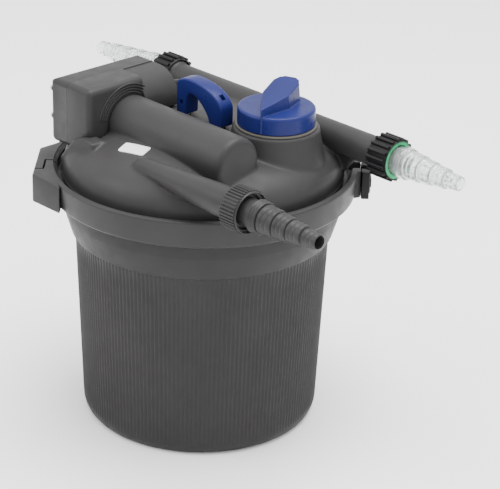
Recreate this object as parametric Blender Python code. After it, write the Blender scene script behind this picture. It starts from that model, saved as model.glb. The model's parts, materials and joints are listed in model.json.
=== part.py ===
"""Pressurised pond filter: a fluted canister under a domed lid, closed by a hinged clamp ring.

Metres, +Z up. The origin is the middle of the canister's underside, +X is the way the
lamp tunnel and the pipes run, and the clamp ring closes on the -X -Y side.
"""
import math

import bmesh
import bpy
from mathutils import Vector

# Clearances
GAP = 0.0003             # pieces that touch
SLIDE_GAP = 0.0006       # a rod or shaft in its hole

# Driving sizes: the flange where the canister meets the lid
FLANGE_R = 0.172
CAN_FLANGE_Z = 0.281
FLANGE_T = 0.0075
SEAL_T = 0.0024
CAN_RIM_Z = CAN_FLANGE_Z + FLANGE_T
LID_LOW = CAN_RIM_Z + SEAL_T + 2 * GAP
LID_RIM_Z = LID_LOW + FLANGE_T

# Canister
CAN_FOOT_R = FLANGE_R - 0.044
CAN_HEEL_R = FLANGE_R - 0.033
CAN_HEEL_Z = 0.018
CAN_WALL_R = FLANGE_R - 0.025  # top of the fluted wall
CAN_WALL_Z = CAN_FLANGE_Z - 0.053
CAN_BAND_R = FLANGE_R - 0.020  # smooth band above the flutes
CAN_NECK_R = FLANGE_R - 0.0125
CAN_NECK_Z = CAN_FLANGE_Z - 0.022
CAN_WALL = 0.0035
CAN_FLOOR = 0.004
LEDGE_Z = CAN_FLANGE_Z - 0.019  # the top plate rests here
LEDGE_R = FLANGE_R - 0.0215
MOUTH_R = FLANGE_R - 0.016

# Clamp ring
CLAMP_LIP = 0.0052
CLAMP_WALL = 0.0046
CLAMP_RISE = 0.0092      # upper lip above the lid's flange
CLAMP_TOP_LIP_R = FLANGE_R - 0.005
CLAMP_LOW_LIP_R = FLANGE_R - 0.0085
CLAMP_FLARE = 0.0026     # outside leans out towards the top
EAR_ANGLE = math.radians(225)
EAR_REACH = FLANGE_R + 0.018
EAR_REAR = -0.027        # the ear's outer face, from and to
EAR_FRONT = 0.055
EAR_FOOT = 0.034         # how far in its slanted sides run
LAP_REACH = FLANGE_R + 0.0075  # the Z joint: the rear half laps outside the front half
LAP_INNER = 0.009
LAP_OUTER = 0.036
LAP_GAP = 0.0006
HINGE_REACH = FLANGE_R + 0.0145
HINGE_R = 0.006
PIN_R = 0.003
HINGE_PAD = FLANGE_R + 0.012
HINGE_PAD_LONG = 0.030
HINGE_CLEAR = 0.009      # both halves stop this far from the pin
HINGE_MIDDLE = 0.0105    # height of the front half's knuckle

# Lid
DOME_R = FLANGE_R - 0.0115
DOME_H = 0.0595
DOME_P = 2.2             # dome outline: (r / R)^P + (z / H)^Q = 1
DOME_Q = 2.94
LID_WALL = 0.004
BORE_LOW = LID_LOW + 0.0185  # the ports' bores start in the water chamber
SPIGOT_R = MOUTH_R - 0.0015
SPIGOT_DEEP = 0.015
NECK_X = 0.087
NECK_Y = 0.028
NECK_R = 0.049
NECK_TOP = LID_LOW + 0.0795
NECK_FOOT_R = 0.066
HEAD_LEFT = 0.0295 - DOME_R
HEAD_RIGHT = HEAD_LEFT + 0.069
TUNNEL_Y = -0.060
TUNNEL_Z = LID_LOW + 0.0635
TUNNEL_R = 0.031
TUNNEL_START = HEAD_RIGHT + 0.0004
TUNNEL_END = DOME_R - 0.0405
TUNNEL_BORE_R = 0.027

# Pipes and unions
FRONT_PIPE_Y = 0.0415 - DOME_R
FRONT_PIPE_Z = LID_LOW + 0.0515
FRONT_PIPE_START = 0.036
FRONT_PIPE_END = FLANGE_R + 0.012
REAR_PIPE_Y = DOME_R - 0.0605
REAR_PIPE_Z = LID_LOW + 0.0545
REAR_PIPE_RIGHT = FLANGE_R + 0.018
REAR_PIPE_LEFT = 0.009 - FLANGE_R
PIPE_R = 0.0172
PIPE_BORE_R = 0.013
THREAD_R = 0.020
THREAD_LONG = 0.010
THREAD_GAP = 0.0004
WEB_T = 0.012
FLAT_SEAL_T = 0.002
COLLAR_T = 0.004         # flange of the hose adapter
FRONT_NUT_R = 0.025
FRONT_NUT_SPAN = (-0.0105, 0.015)
REAR_NUT_R = 0.0255
REAR_NUT_SPAN = (-0.012, 0.017)
NUT_LIP = 0.0035
NUT_MOUTH_R = 0.0222
FRONT_ADAPTER_LONG = 0.1125
RIGHT_ADAPTER_LONG = 0.106
LEFT_ADAPTER_LONG = 0.135
HOSE_R = (0.019, 0.0165, 0.0145, 0.0125, 0.0095)
HOSE_WALL = (0.0035, 0.003, 0.003, 0.003, 0.002)
HOSE_STEPS = (0.28, 0.47, 0.64, 0.82, 1.0)  # where each step ends, as a share

# Knob and valve
KNOB_R = 0.046
KNOB_Z = NECK_TOP + 0.003
SKIRT_H = 0.020
WING_TIP_H = 0.009
WING_END_H = 0.022
WING_HALF = 0.017
WING_ANGLE = math.radians(-68)
SHAFT_R = 0.008
ROTOR_R = 0.038
ROTOR_SPAN = (LID_LOW + 0.0385, LID_LOW + 0.0665)

# Cleaning handle, rods and squeeze cage
HANDLE_LEFT = -0.036
HANDLE_RIGHT = 0.0375
HANDLE_Z = LID_LOW + 0.0695
HANDLE_TOP = HANDLE_Z + 0.044
HANDLE_T = 0.020
ROD_R = 0.004
ROD_X = (-0.028, 0.029)
CAGE_R = 0.0445
CAGE_WALL = 0.003
CAGE_TOP = CAN_FLANGE_Z - 0.013
PLATE_Z = 0.036
PLATE_T = 0.004
PLATE_R = CAN_HEEL_R - 0.009
FOAM_COUNT = 4
FOAM_R = CAN_HEEL_R - 0.007

# UVC head: an end cover and a housing, split across X
HEAD_SPLIT = HEAD_LEFT + 0.030
HEAD_FRONT = -0.117
HEAD_BACK = 0.012
HEAD_LOW = LID_LOW + 0.0335
HEAD_TOP = LID_LOW + 0.1105
HEAD_ROUND = 0.007
HEAD_SIDE = 0.008        # side walls, thick enough for the screws
HEAD_WALL = 0.003
BULGE_START = HEAD_LEFT + 0.034
BULGE_END = HEAD_LEFT + 0.076
BULGE_FRONT = -0.038
BULGE_DROP = 0.035
BULGE_LOW = LID_LOW + 0.0685
HEAD_CLEAR = 0.0008      # round the head in its pocket in the lid
STUB_R = 0.0266
STUB_END = HEAD_RIGHT + 0.018
SEAL_SEAT = (HEAD_RIGHT + 0.004, HEAD_RIGHT + 0.008)
STUB_BORE_R = 0.0205
SLEEVE_R = 0.016
SLEEVE_WALL = 0.0015
SLEEVE_END = TUNNEL_END - 0.016
LAMP_TUBE_R = 0.0055
LAMP_END = SLEEVE_END - 0.010
SCREW_R = 0.0018
SCREW_LONG = 0.046

# Colours: red, green, blue, roughness, metallic
CHARCOAL = (0.075, 0.072, 0.068, 0.55, 0.0)
BLACK = (0.015, 0.015, 0.016, 0.45, 0.0)
BLUE = (0.03, 0.05, 0.25, 0.35, 0.0)
GREEN = (0.02, 0.28, 0.12, 0.4, 0.0)
CLEAR = (0.85, 0.88, 0.88, 0.1, 0.0)
RUBBER = (0.02, 0.02, 0.02, 0.8, 0.0)
WHITE = (0.8, 0.8, 0.8, 0.5, 0.0)
STEEL = (0.55, 0.56, 0.58, 0.3, 1.0)
FOAM = (0.08, 0.16, 0.35, 0.95, 0.0)

RING_STEPS = 40          # facets round the canister, lid and clamp ring

AXIS_TURN = {"Z": (0, 0, 0), "X": (0, math.pi / 2, 0), "-X": (0, -math.pi / 2, 0),
             "Y": (-math.pi / 2, 0, 0)}


# ---- building blocks ----

def clear_scene():
    """Remove every object."""
    for item in list(bpy.data.objects):
        bpy.data.objects.remove(item, do_unlink=True)


def paint(item, colour):
    """Give a piece its own Principled material."""
    material = bpy.data.materials.new(item.name + "_finish")
    material.use_nodes = True
    shader = material.node_tree.nodes["Principled BSDF"]
    shader.inputs["Base Color"].default_value = (*colour[:3], 1)
    shader.inputs["Roughness"].default_value = colour[3]
    shader.inputs["Metallic"].default_value = colour[4]
    item.data.materials.append(material)


def add_piece(name, bm, colour=None, place=(0, 0, 0), axis="Z"):
    """Make a mesh object; one with no colour is a cutter or a filler."""
    bmesh.ops.recalc_face_normals(bm, faces=bm.faces)
    mesh = bpy.data.meshes.new(name)
    bm.to_mesh(mesh)
    bm.free()
    item = bpy.data.objects.new(name, mesh)
    item.location = place
    item.rotation_euler = AXIS_TURN[axis]
    bpy.context.scene.collection.objects.link(item)
    mesh.shade_smooth()
    mesh.set_sharp_from_angle(angle=math.radians(30))
    if colour:
        paint(item, colour)
    else:
        item.hide_render = True
        item.display_type = "WIRE"
    return item


def turned(name, outline, colour=None, place=(0, 0, 0), axis="Z", steps=RING_STEPS):
    """Turn a closed outline of (radius, height) points about an axis."""
    bm = bmesh.new()
    rings = []
    lead = 0.0 if steps == RING_STEPS else 0.5
    for radius, height in outline:
        if radius < 1e-9:
            rings.append([bm.verts.new((0, 0, height))] * steps)
            continue
        angles = [2 * math.pi * (i + lead) / steps for i in range(steps)]
        rings.append([bm.verts.new((radius * math.cos(a), radius * math.sin(a), height))
                      for a in angles])
    for ring, after in zip(rings, rings[1:] + rings[:1]):
        for i in range(steps):
            j = (i + 1) % steps
            corners = []
            for corner in (ring[i], ring[j], after[j], after[i]):
                if corner not in corners:
                    corners.append(corner)
            if len(corners) > 2:
                bm.faces.new(corners)
    return add_piece(name, bm, colour, place, axis)


def prism(name, outline, low, high, colour=None, along="Z"):
    """Extrude a plan outline from low to high; along Y, the outline is in X and Z."""
    bm = bmesh.new()
    rings = []
    for level in (low, high):
        if along == "Z":
            rings.append([bm.verts.new((x, y, level)) for x, y in outline])
        else:
            rings.append([bm.verts.new((x, level, z)) for x, z in outline])
    bm.faces.new(rings[0][::-1])
    bm.faces.new(rings[1])
    count = len(outline)
    for i in range(count):
        j = (i + 1) % count
        bm.faces.new((rings[0][i], rings[0][j], rings[1][j], rings[1][i]))
    return add_piece(name, bm, colour)


def block(name, low, high, colour=None, rounding=0.0, segments=2):
    """A box from one corner to the other, with its edges rounded."""
    bm = bmesh.new()
    bmesh.ops.create_cube(bm, size=1)
    size = Vector(high) - Vector(low)
    middle = (Vector(high) + Vector(low)) / 2
    for vert in bm.verts:
        vert.co = Vector((vert.co[i] * size[i] for i in range(3))) + middle
    if rounding:
        bmesh.ops.bevel(bm, geom=bm.edges[:], offset=rounding, segments=segments,
                        profile=0.5, affect="EDGES")
    return add_piece(name, bm, colour)


def rod(name, radius, low, high, colour=None, place=(0, 0, 0), axis="Z", steps=16):
    """A plain cylinder between two heights along its axis."""
    outline = [(0, low), (radius, low), (radius, high), (0, high)]
    return turned(name, outline, colour, place, axis, steps)


def tube(name, inner, outer, low, high, colour=None, place=(0, 0, 0), axis="Z", steps=24):
    """A plain ring or tube between two heights along its axis."""
    outline = [(inner, low), (outer, low), (outer, high), (inner, high)]
    return turned(name, outline, colour, place, axis, steps)


def combine(item, operation, tools):
    """Join pieces to one, or cut them from it, all at once."""
    group = bpy.data.collections.new(f"{item.name}_{operation.lower()}")
    for tool in tools:
        group.objects.link(tool)
    modifier = item.modifiers.new(operation.lower(), "BOOLEAN")
    modifier.operation = operation
    modifier.solver = "EXACT"
    modifier.operand_type = "COLLECTION"
    modifier.collection = group
    return item


def join(item, *tools):
    """Make fillers one with a piece."""
    return combine(item, "UNION", tools)


def cut(item, *tools):
    """Cut shapes out of a piece."""
    return combine(item, "DIFFERENCE", tools)


# ---- shared levels ----

CLAMP_LOW = CAN_FLANGE_Z - GAP - CLAMP_LIP
CLAMP_TOP = LID_RIM_Z + GAP + CLAMP_RISE
CLAMP_R = FLANGE_R + 2 * GAP + CLAMP_WALL
PLATE_TOP = PLATE_Z + PLATE_T


def dome_outline(grow=0.0, steps=9):
    """The dome's outline from its foot to the middle, moved out by grow."""
    points = []
    for i in range(steps + 1):
        turn = math.pi / 2 * i / steps
        radius = (DOME_R + grow) * max(math.cos(turn), 0) ** (2 / DOME_P)
        height = (DOME_H + grow) * math.sin(turn) ** (2 / DOME_Q)
        points.append((radius if i < steps else 0.0, LID_RIM_Z + height))
    return points


def dome_solid(name, grow, low):
    """The dome as a filled body, down to a level."""
    points = dome_outline(grow)
    return turned(name, [(0, low), (points[0][0], low), *points])


def ear_point(outward, across):
    """A plan point from the clamp's closing ear: outward, and across towards the front."""
    x = outward * math.cos(EAR_ANGLE) - across * math.sin(EAR_ANGLE)
    y = outward * math.sin(EAR_ANGLE) + across * math.cos(EAR_ANGLE)
    return x, y


def hinge_point(outward, across):
    """A plan point from the hinge, opposite the ear: across is towards the rear."""
    return ear_point(-outward, -across)


# ---- canister and filter stack ----

def make_canister():
    """The open canister with its flange and the ledge for the top plate."""
    low_in = CAN_FOOT_R - CAN_WALL
    outline = [
        (0, 0), (CAN_FOOT_R - 0.006, 0), (CAN_FOOT_R, 0.0015), (CAN_HEEL_R - 0.003, 0.009),
        (CAN_HEEL_R, CAN_HEEL_Z), (CAN_WALL_R, CAN_WALL_Z), (CAN_BAND_R, CAN_WALL_Z + 0.004),
        (CAN_NECK_R, CAN_NECK_Z), (CAN_NECK_R + 0.001, CAN_FLANGE_Z),
        (FLANGE_R, CAN_FLANGE_Z), (FLANGE_R, CAN_RIM_Z), (MOUTH_R, CAN_RIM_Z),
        (MOUTH_R, LEDGE_Z), (LEDGE_R, LEDGE_Z), (CAN_WALL_R - CAN_WALL, CAN_WALL_Z),
        (CAN_HEEL_R - CAN_WALL, CAN_HEEL_Z), (low_in, CAN_FLOOR), (0, CAN_FLOOR),
    ]
    turned("canister", outline, CHARCOAL)


def make_filter_stack():
    """Support ring, foam rings and the grid plate that holds them down."""
    support_low = CAN_FLOOR + GAP
    support_top = PLATE_Z - GAP
    tube("support_ring", 0.098, 0.102, support_low, support_top, BLACK)
    low = PLATE_TOP + GAP
    step = (LEDGE_Z - low) / FOAM_COUNT
    for i in range(FOAM_COUNT):
        tube(f"foam_ring_{i + 1}", CAGE_R + GAP, FOAM_R, low + i * step,
             low + (i + 1) * step - GAP, FOAM)
    plate = tube("top_plate", CAGE_R + SLIDE_GAP, MOUTH_R - 0.001, LEDGE_Z + GAP,
                 LEDGE_Z + 0.004, BLACK)
    slots = []
    for i in range(8):
        slot = block(f"top_plate_slot_{i}", (0.062, -0.009, LEDGE_Z - 0.002),
                     (0.138, 0.009, LEDGE_Z + 0.006))
        slot.rotation_euler = (0, 0, 2 * math.pi * (i + 0.5) / 8)
        slots.append(slot)
    cut(plate, *slots)


def make_squeeze_unit():
    """Handle, rods, cage and plate: they rise together and squeeze the foam."""
    foot = 0.016
    left, right, low = HANDLE_LEFT, HANDLE_RIGHT, HANDLE_Z
    middle = left + 0.30 * (right - left)
    crown = HANDLE_TOP - low
    arch = []
    for i in range(9):
        turn = math.pi * i / 8
        reach = (middle - left) if i > 4 else (right - middle)
        shoulder = 0.78 if i > 4 else 0.45
        height = crown * (shoulder + (1 - shoulder) * math.sin(turn))
        arch.append((middle + reach * math.cos(turn), low + height))
    under = [(left + foot, low + 0.024), (left + foot + 0.008, low + 0.027),
             (left + 0.038, low + 0.021), (left + 0.049, low + 0.010), (left + 0.054, low)]
    outline = [(right, low), *arch, (left, low), (left + foot, low), *under]
    handle = prism("cleaning_handle", outline, -HANDLE_T / 2, HANDLE_T / 2, BLUE, along="Y")
    hole = block("handle_hole", (right - 0.0105, -0.0028, low - 0.01),
                 (right - 0.0055, 0.0028, HANDLE_TOP))
    for i, x in enumerate(ROD_X):
        side = ("left", "right")[i]
        rod(f"pull_rod_{side}", ROD_R, PLATE_TOP + GAP, HANDLE_Z - GAP, STEEL, (x, 0, 0),
            steps=12)
        tube(f"rod_seal_{side}", ROD_R + GAP, ROD_R + 0.004, -0.0025, 0.0025, RUBBER,
             (x, 0, rod_seal_z(x)), steps=12)
    cut(handle, hole)
    tube("squeeze_cage", CAGE_R - CAGE_WALL, CAGE_R, PLATE_TOP + GAP, CAGE_TOP, BLACK)
    plate = rod("squeeze_plate", PLATE_R, PLATE_Z, PLATE_TOP, BLACK, steps=32)
    holes = []
    for i in range(6):
        turn = 2 * math.pi * i / 6 + 0.1
        place = (0.085 * math.cos(turn), 0.085 * math.sin(turn), 0)
        holes.append(rod(f"plate_hole_{i}", 0.014, PLATE_Z - 0.01, PLATE_TOP + 0.01, None,
                         place, steps=10))
    cut(plate, *holes)


def dome_level(radius, grow=0.0):
    """The dome's height at a distance from its middle."""
    share = (radius / (DOME_R + grow)) ** DOME_P
    return LID_RIM_Z + (DOME_H + grow) * (1 - share) ** (1 / DOME_Q)


def rod_seal_z(x):
    """The middle of a rod's seal, just under the lid's wall."""
    return dome_level(abs(x) + 0.012, -LID_WALL) - 0.0025 - GAP


# ---- lid ----

def make_lid():
    """The domed lid with its lamp tunnel, pipes and valve neck."""
    inner = SPIGOT_R - LID_WALL
    foot = LID_LOW - SPIGOT_DEEP
    hollow_low = LID_LOW + 0.004
    lid = turned("lid", [(0, foot), (SPIGOT_R, foot), (SPIGOT_R, LID_LOW), (FLANGE_R, LID_LOW),
                         (FLANGE_R, LID_RIM_Z), *dome_outline()], CHARCOAL)
    hollow = turned("dome_hollow", [(0, foot - 0.002), (inner, foot - 0.002),
                                    (inner, hollow_low), (DOME_R - LID_WALL, hollow_low),
                                    *dome_outline(-LID_WALL)])
    neck = neck_body("neck_cone", 0.0, LID_LOW + 0.003, NECK_TOP)
    neck_hollow = neck_body("neck_hollow", -LID_WALL, hollow_low + 0.001, NECK_TOP - LID_WALL)
    cut(hollow, head_pocket("pocket_wall", LID_WALL))
    join(lid, neck)
    cut(lid, hollow, neck_hollow, head_pocket("head_pocket", 0.0))
    join(lid, *lid_tubes())
    cut(lid, *lid_bores())


def head_pocket(name, grow):
    """The space that the head slides into, open to the left and above."""
    side = HEAD_CLEAR + grow
    return block(name, (HEAD_LEFT - 0.08, HEAD_FRONT - side, HEAD_LOW - side),
                 (TUNNEL_START + 0.0003 + grow, HEAD_BACK + side, HEAD_TOP + 0.05))


def neck_body(name, grow, low, high):
    """The cone that carries the knob, moved out by grow."""
    outline = [(0, low), (NECK_FOOT_R + grow, low), (NECK_R + grow, high), (0, high)]
    return turned(name, outline, place=(NECK_X, NECK_Y, 0), steps=32)


def pipe_body(name, left, right, threads, place):
    """A pipe as a filled body, with a thread on the ends that take a nut."""
    outline = [(0, left)]
    if "left" in threads:
        outline += [(THREAD_R, left), (THREAD_R, left + THREAD_LONG),
                    (PIPE_R, left + THREAD_LONG)]
    else:
        outline.append((PIPE_R, left))
    if "right" in threads:
        outline += [(PIPE_R, right - THREAD_LONG), (THREAD_R, right - THREAD_LONG),
                    (THREAD_R, right)]
    else:
        outline.append((PIPE_R, right))
    return turned(name, [*outline, (0, right)], None, place, "X", 24)


def lid_tubes():
    """The tunnel and pipes as filled bodies, with the webs under the rear pipe."""
    front = (0, FRONT_PIPE_Y, FRONT_PIPE_Z)
    rear = (0, REAR_PIPE_Y, REAR_PIPE_Z)
    tunnel = turned("tunnel_body", [(0, TUNNEL_START), (TUNNEL_R, TUNNEL_START),
                                    (TUNNEL_R, TUNNEL_END - 0.003),
                                    (TUNNEL_R - 0.003, TUNNEL_END), (0, TUNNEL_END)],
                    place=(0, TUNNEL_Y, TUNNEL_Z), axis="X", steps=32)
    bodies = [
        tunnel,
        pipe_body("front_pipe_body", FRONT_PIPE_START, FRONT_PIPE_END, ("right",), front),
        pipe_body("rear_pipe_body", REAR_PIPE_LEFT, REAR_PIPE_RIGHT, ("left", "right"), rear),
    ]
    for side in (1, -1):
        foot = math.sqrt((DOME_R - 0.004) ** 2 - (REAR_PIPE_Y + WEB_T / 2) ** 2)
        outline = [(0.090 * side, LID_RIM_Z - 0.003), (foot * side, LID_RIM_Z - 0.003),
                   ((foot + 0.034) * side, REAR_PIPE_Z - 0.012),
                   ((foot + 0.034) * side, REAR_PIPE_Z), (0.090 * side, REAR_PIPE_Z)]
        bodies.append(prism(f"pipe_web_{'left' if side < 0 else 'right'}", outline,
                            REAR_PIPE_Y - WEB_T / 2, REAR_PIPE_Y + WEB_T / 2, along="Y"))
    return bodies


def lid_bores():
    """Everything that is cut through the lid after its tubes are on."""
    front = (0, FRONT_PIPE_Y, FRONT_PIPE_Z)
    rear = (0, REAR_PIPE_Y, REAR_PIPE_Z)
    past = 0.002
    bores = [
        rod("tunnel_bore", TUNNEL_BORE_R, TUNNEL_START - past, TUNNEL_END - LID_WALL, None,
            (0, TUNNEL_Y, TUNNEL_Z), "X", 32),
        rod("front_bore", PIPE_BORE_R, FRONT_PIPE_START + 0.008, FRONT_PIPE_END + past, None,
            front, "X", 24),
        rod("front_drop", PIPE_BORE_R - 0.002, BORE_LOW, FRONT_PIPE_Z, None,
            (FRONT_PIPE_START + 0.024, FRONT_PIPE_Y, 0)),
        rod("rear_bore", PIPE_BORE_R, REAR_PIPE_LEFT - past, REAR_PIPE_RIGHT + past, None, rear,
            "X", 24),
        rod("rear_drop", PIPE_BORE_R - 0.002, BORE_LOW, REAR_PIPE_Z, None, (0.005, REAR_PIPE_Y, 0)),
        block("tunnel_port", (0.040, TUNNEL_Y - 0.012, BORE_LOW),
              (0.090, TUNNEL_Y + 0.012, TUNNEL_Z - 0.020)),
        rod("shaft_hole", SHAFT_R + SLIDE_GAP, NECK_TOP - 0.01, NECK_TOP + 0.01, None,
            (NECK_X, NECK_Y, 0)),
    ]
    for i, x in enumerate(ROD_X):
        bores.append(rod(f"rod_hole_{i}", ROD_R + SLIDE_GAP, HANDLE_Z - 0.021, HANDLE_Z + 0.009,
                         None, (x, 0, 0),
                         steps=12))
    return bores


def make_lid_trim():
    """The main seal and the blank plate on the dome."""
    tube("lid_seal", MOUTH_R + 0.002, FLANGE_R - 0.003, CAN_RIM_Z + GAP, LID_LOW - GAP, RUBBER,
         steps=RING_STEPS)
    plate = dome_solid("blank_plate", 0.0009, LID_RIM_Z)
    paint(plate, WHITE)
    plate.hide_render = False
    plate.display_type = "TEXTURED"
    tunnel = rod("plate_tunnel_space", TUNNEL_R + 0.0006, TUNNEL_START, 0.05, None,
                 (0, TUNNEL_Y, TUNNEL_Z), "X", 30)
    cut(plate, dome_solid("plate_seat", GAP, LID_RIM_Z - 0.002), tunnel)
    window = block("plate_window", (-0.017, -0.0085, LID_RIM_Z + 0.03), (0.017, 0.0085, HEAD_TOP),
                   rounding=0.002, segments=1)
    window.location = (-0.001, 0.0565 - DOME_R, 0)
    window.rotation_euler = (0, 0, math.radians(13))
    combine(plate, "INTERSECT", [window])


# ---- clamp ring ----

def clamp_blank(name, colour, removed):
    """One half of the clamp ring, before its hinge: the whole ring less the other half."""
    low_r = CLAMP_R - CLAMP_FLARE
    ring = [(0, CLAMP_LOW), (low_r - 0.0045, CLAMP_LOW), (low_r, CLAMP_LOW + 0.0035),
            (CLAMP_R, CLAMP_TOP - 0.002), (CLAMP_R - 0.001, CLAMP_TOP), (0, CLAMP_TOP)]
    half = turned(name, ring, colour)
    ear = [(EAR_REACH, EAR_REAR), (EAR_REACH, EAR_FRONT),
           (EAR_REACH - EAR_FOOT, EAR_FRONT + EAR_FOOT), (EAR_REACH - EAR_FOOT,
                                                          EAR_REAR - EAR_FOOT)]
    ear_body = prism(name + "_ear", [ear_point(*p) for p in ear], CLAMP_LOW + 0.0003,
                     CLAMP_TOP - 0.0003)
    pad = [(HINGE_PAD, -HINGE_PAD_LONG), (HINGE_PAD, HINGE_PAD_LONG),
           (HINGE_PAD - 0.03, HINGE_PAD_LONG + 0.012), (HINGE_PAD - 0.03,
                                                        -HINGE_PAD_LONG - 0.012)]
    pad_body = prism(name + "_pad", [hinge_point(*p) for p in pad], CLAMP_LOW + 0.0006,
                     CLAMP_TOP - 0.0006)
    join(half, ear_body, pad_body)
    core_r = FLANGE_R + 2 * GAP
    lip_low = CAN_FLANGE_Z - GAP
    lip_top = LID_RIM_Z + GAP
    core = turned(name + "_core", [(0, CLAMP_LOW - 0.01), (CLAMP_LOW_LIP_R, CLAMP_LOW - 0.01),
                                   (CLAMP_LOW_LIP_R, lip_low), (core_r, lip_low),
                                   (core_r, lip_top), (CLAMP_TOP_LIP_R, lip_top),
                                   (CLAMP_TOP_LIP_R, CLAMP_TOP + 0.01),
                                   (0, CLAMP_TOP + 0.01)])
    other = prism(name + "_other_half", [ear_point(*p) for p in removed], CLAMP_LOW - 0.02,
                  CLAMP_TOP + 0.02)
    return cut(half, core, other)


def knuckle(name, low, high, side, colour=None):
    """A knuckle round the hinge pin, with an arm towards the front or the rear."""
    outline = [(HINGE_REACH + HINGE_R * math.cos(a), side * HINGE_R * math.sin(a))
               for a in (-math.pi / 2 + math.pi * (i - 4) / 8 for i in range(9))]
    arm = HINGE_CLEAR + 0.003
    outline += [(HINGE_REACH + HINGE_R, side * arm), (HINGE_REACH - HINGE_R, side * arm)]
    return prism(name, [hinge_point(*p) for p in outline], low, high, colour)


def make_clamp():
    """Both halves of the clamp ring, the hinge block and its pin."""
    far, wide = FLANGE_R + 0.058, FLANGE_R + 0.148
    behind = [(far, LAP_OUTER + LAP_GAP), (LAP_REACH - LAP_GAP, LAP_OUTER + LAP_GAP),
              (LAP_REACH - LAP_GAP, LAP_INNER + LAP_GAP), (0.1, LAP_INNER + LAP_GAP),
              (-0.1, HINGE_CLEAR), (-far, HINGE_CLEAR), (-far, -wide), (far, -wide)]
    before = [(far, LAP_OUTER - LAP_GAP), (LAP_REACH + LAP_GAP, LAP_OUTER - LAP_GAP),
              (LAP_REACH + LAP_GAP, LAP_INNER - LAP_GAP), (0.1, LAP_INNER - LAP_GAP),
              (-0.1, -HINGE_CLEAR), (-far, -HINGE_CLEAR), (-far, wide), (far, wide)]
    front = clamp_blank("clamp_ring_front", CHARCOAL, behind)
    clamp_blank("clamp_ring_rear", CHARCOAL, before)
    middle = (CLAMP_LOW + CLAMP_TOP) / 2
    low = middle - HINGE_MIDDLE / 2
    high = middle + HINGE_MIDDLE / 2
    pin_x, pin_y = hinge_point(HINGE_REACH, 0)
    pin_hole = rod("hinge_pin_hole", PIN_R + SLIDE_GAP / 2, CLAMP_LOW - 0.01, CLAMP_TOP + 0.01,
                   None, (pin_x, pin_y, 0))
    join(front, knuckle("front_knuckle", low, high, -1))
    cut(front, pin_hole)
    plan = [(HINGE_PAD + GAP, HINGE_CLEAR - 0.0015), (HINGE_PAD + 0.009, HINGE_CLEAR - 0.0015),
            (HINGE_PAD + 0.009, 0.022), (HINGE_PAD + GAP, 0.022)]
    leaf = prism("clamp_hinge_block", [hinge_point(*p) for p in plan], CLAMP_LOW,
                 CLAMP_TOP, BLACK)
    join(leaf, knuckle("hinge_knuckle_low", CLAMP_LOW + 0.0002, low - 0.0005, 1),
         knuckle("hinge_knuckle_high", high + 0.0005, CLAMP_TOP - 0.0002, 1))
    trim = [(HINGE_REACH - 0.02, HINGE_CLEAR - 0.0015), (HINGE_PAD + GAP, HINGE_CLEAR - 0.0015),
            (HINGE_PAD + GAP, 0.04), (HINGE_REACH - 0.02, 0.04)]
    cut(leaf, prism("hinge_block_trim", [hinge_point(*p) for p in trim], CLAMP_LOW - 0.01,
                    CLAMP_TOP + 0.01), pin_hole)
    head = CLAMP_TOP + GAP
    turned("clamp_hinge_pin", [(0, CLAMP_LOW), (PIN_R, CLAMP_LOW), (PIN_R, head),
                               (PIN_R + 0.0018, head), (PIN_R + 0.0018, head + 0.0015),
                               (0, head + 0.0015)], BLACK, (pin_x, pin_y, 0), steps=16)


# ---- unions ----

def make_union(side, end, centre, axis, nut, nut_r, long):
    """Flat seal, hose adapter and union nut on one pipe end, measured out from its face."""
    place = (end, *centre)
    tube(f"flat_seal_{side}", PIPE_BORE_R + 0.001, THREAD_R - 0.0005, GAP, GAP + FLAT_SEAL_T,
         RUBBER, place, axis)
    collar = 2 * GAP + FLAT_SEAL_T
    body = collar + COLLAR_T
    steps = [body + (long - body) * share for share in HOSE_STEPS]
    outside = [(PIPE_BORE_R, collar), (THREAD_R, collar), (THREAD_R, body)]
    inside = []
    start = body
    for radius, wall, stop in zip(HOSE_R, HOSE_WALL, steps):
        outside += [(radius, start), (radius - 0.0006, stop)]
        inside += [(radius - wall, start), (radius - wall - 0.0004, stop)]
        start = stop
    inside[0] = (inside[0][0], body)
    colour = BLACK if side == "front" else CLEAR
    turned(f"hose_adapter_{side}", outside + inside[::-1], colour, place, axis, 16)
    lip = body + THREAD_GAP
    hole = HOSE_R[0] + THREAD_GAP
    groove = nut_r - 0.0015
    outline = [(THREAD_R + THREAD_GAP, nut[0]), (groove, nut[0]), (nut_r, nut[0] + 0.002),
               (nut_r, nut[1] - 0.002), (groove, nut[1]), (NUT_MOUTH_R, nut[1]),
               (NUT_MOUTH_R, lip + NUT_LIP), (hole, lip + NUT_LIP), (hole, lip),
               (THREAD_R + THREAD_GAP, lip)]
    turned(f"union_nut_{side}", outline, BLACK, place, axis, 24)
    if side == "right":
        tube("insert_ring", hole + GAP, NUT_MOUTH_R - GAP, lip + NUT_LIP + GAP,
             lip + NUT_LIP + 0.006, GREEN, place, axis)


def make_unions():
    """All three pipe ends."""
    front = (FRONT_PIPE_Y, FRONT_PIPE_Z)
    rear = (REAR_PIPE_Y, REAR_PIPE_Z)
    make_union("front", FRONT_PIPE_END, front, "X", FRONT_NUT_SPAN, FRONT_NUT_R,
               FRONT_ADAPTER_LONG)
    make_union("right", REAR_PIPE_RIGHT, rear, "X", REAR_NUT_SPAN, REAR_NUT_R,
               RIGHT_ADAPTER_LONG)
    make_union("left", REAR_PIPE_LEFT, rear, "-X", REAR_NUT_SPAN, REAR_NUT_R,
               LEFT_ADAPTER_LONG)


# ---- knob and valve ----

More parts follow.
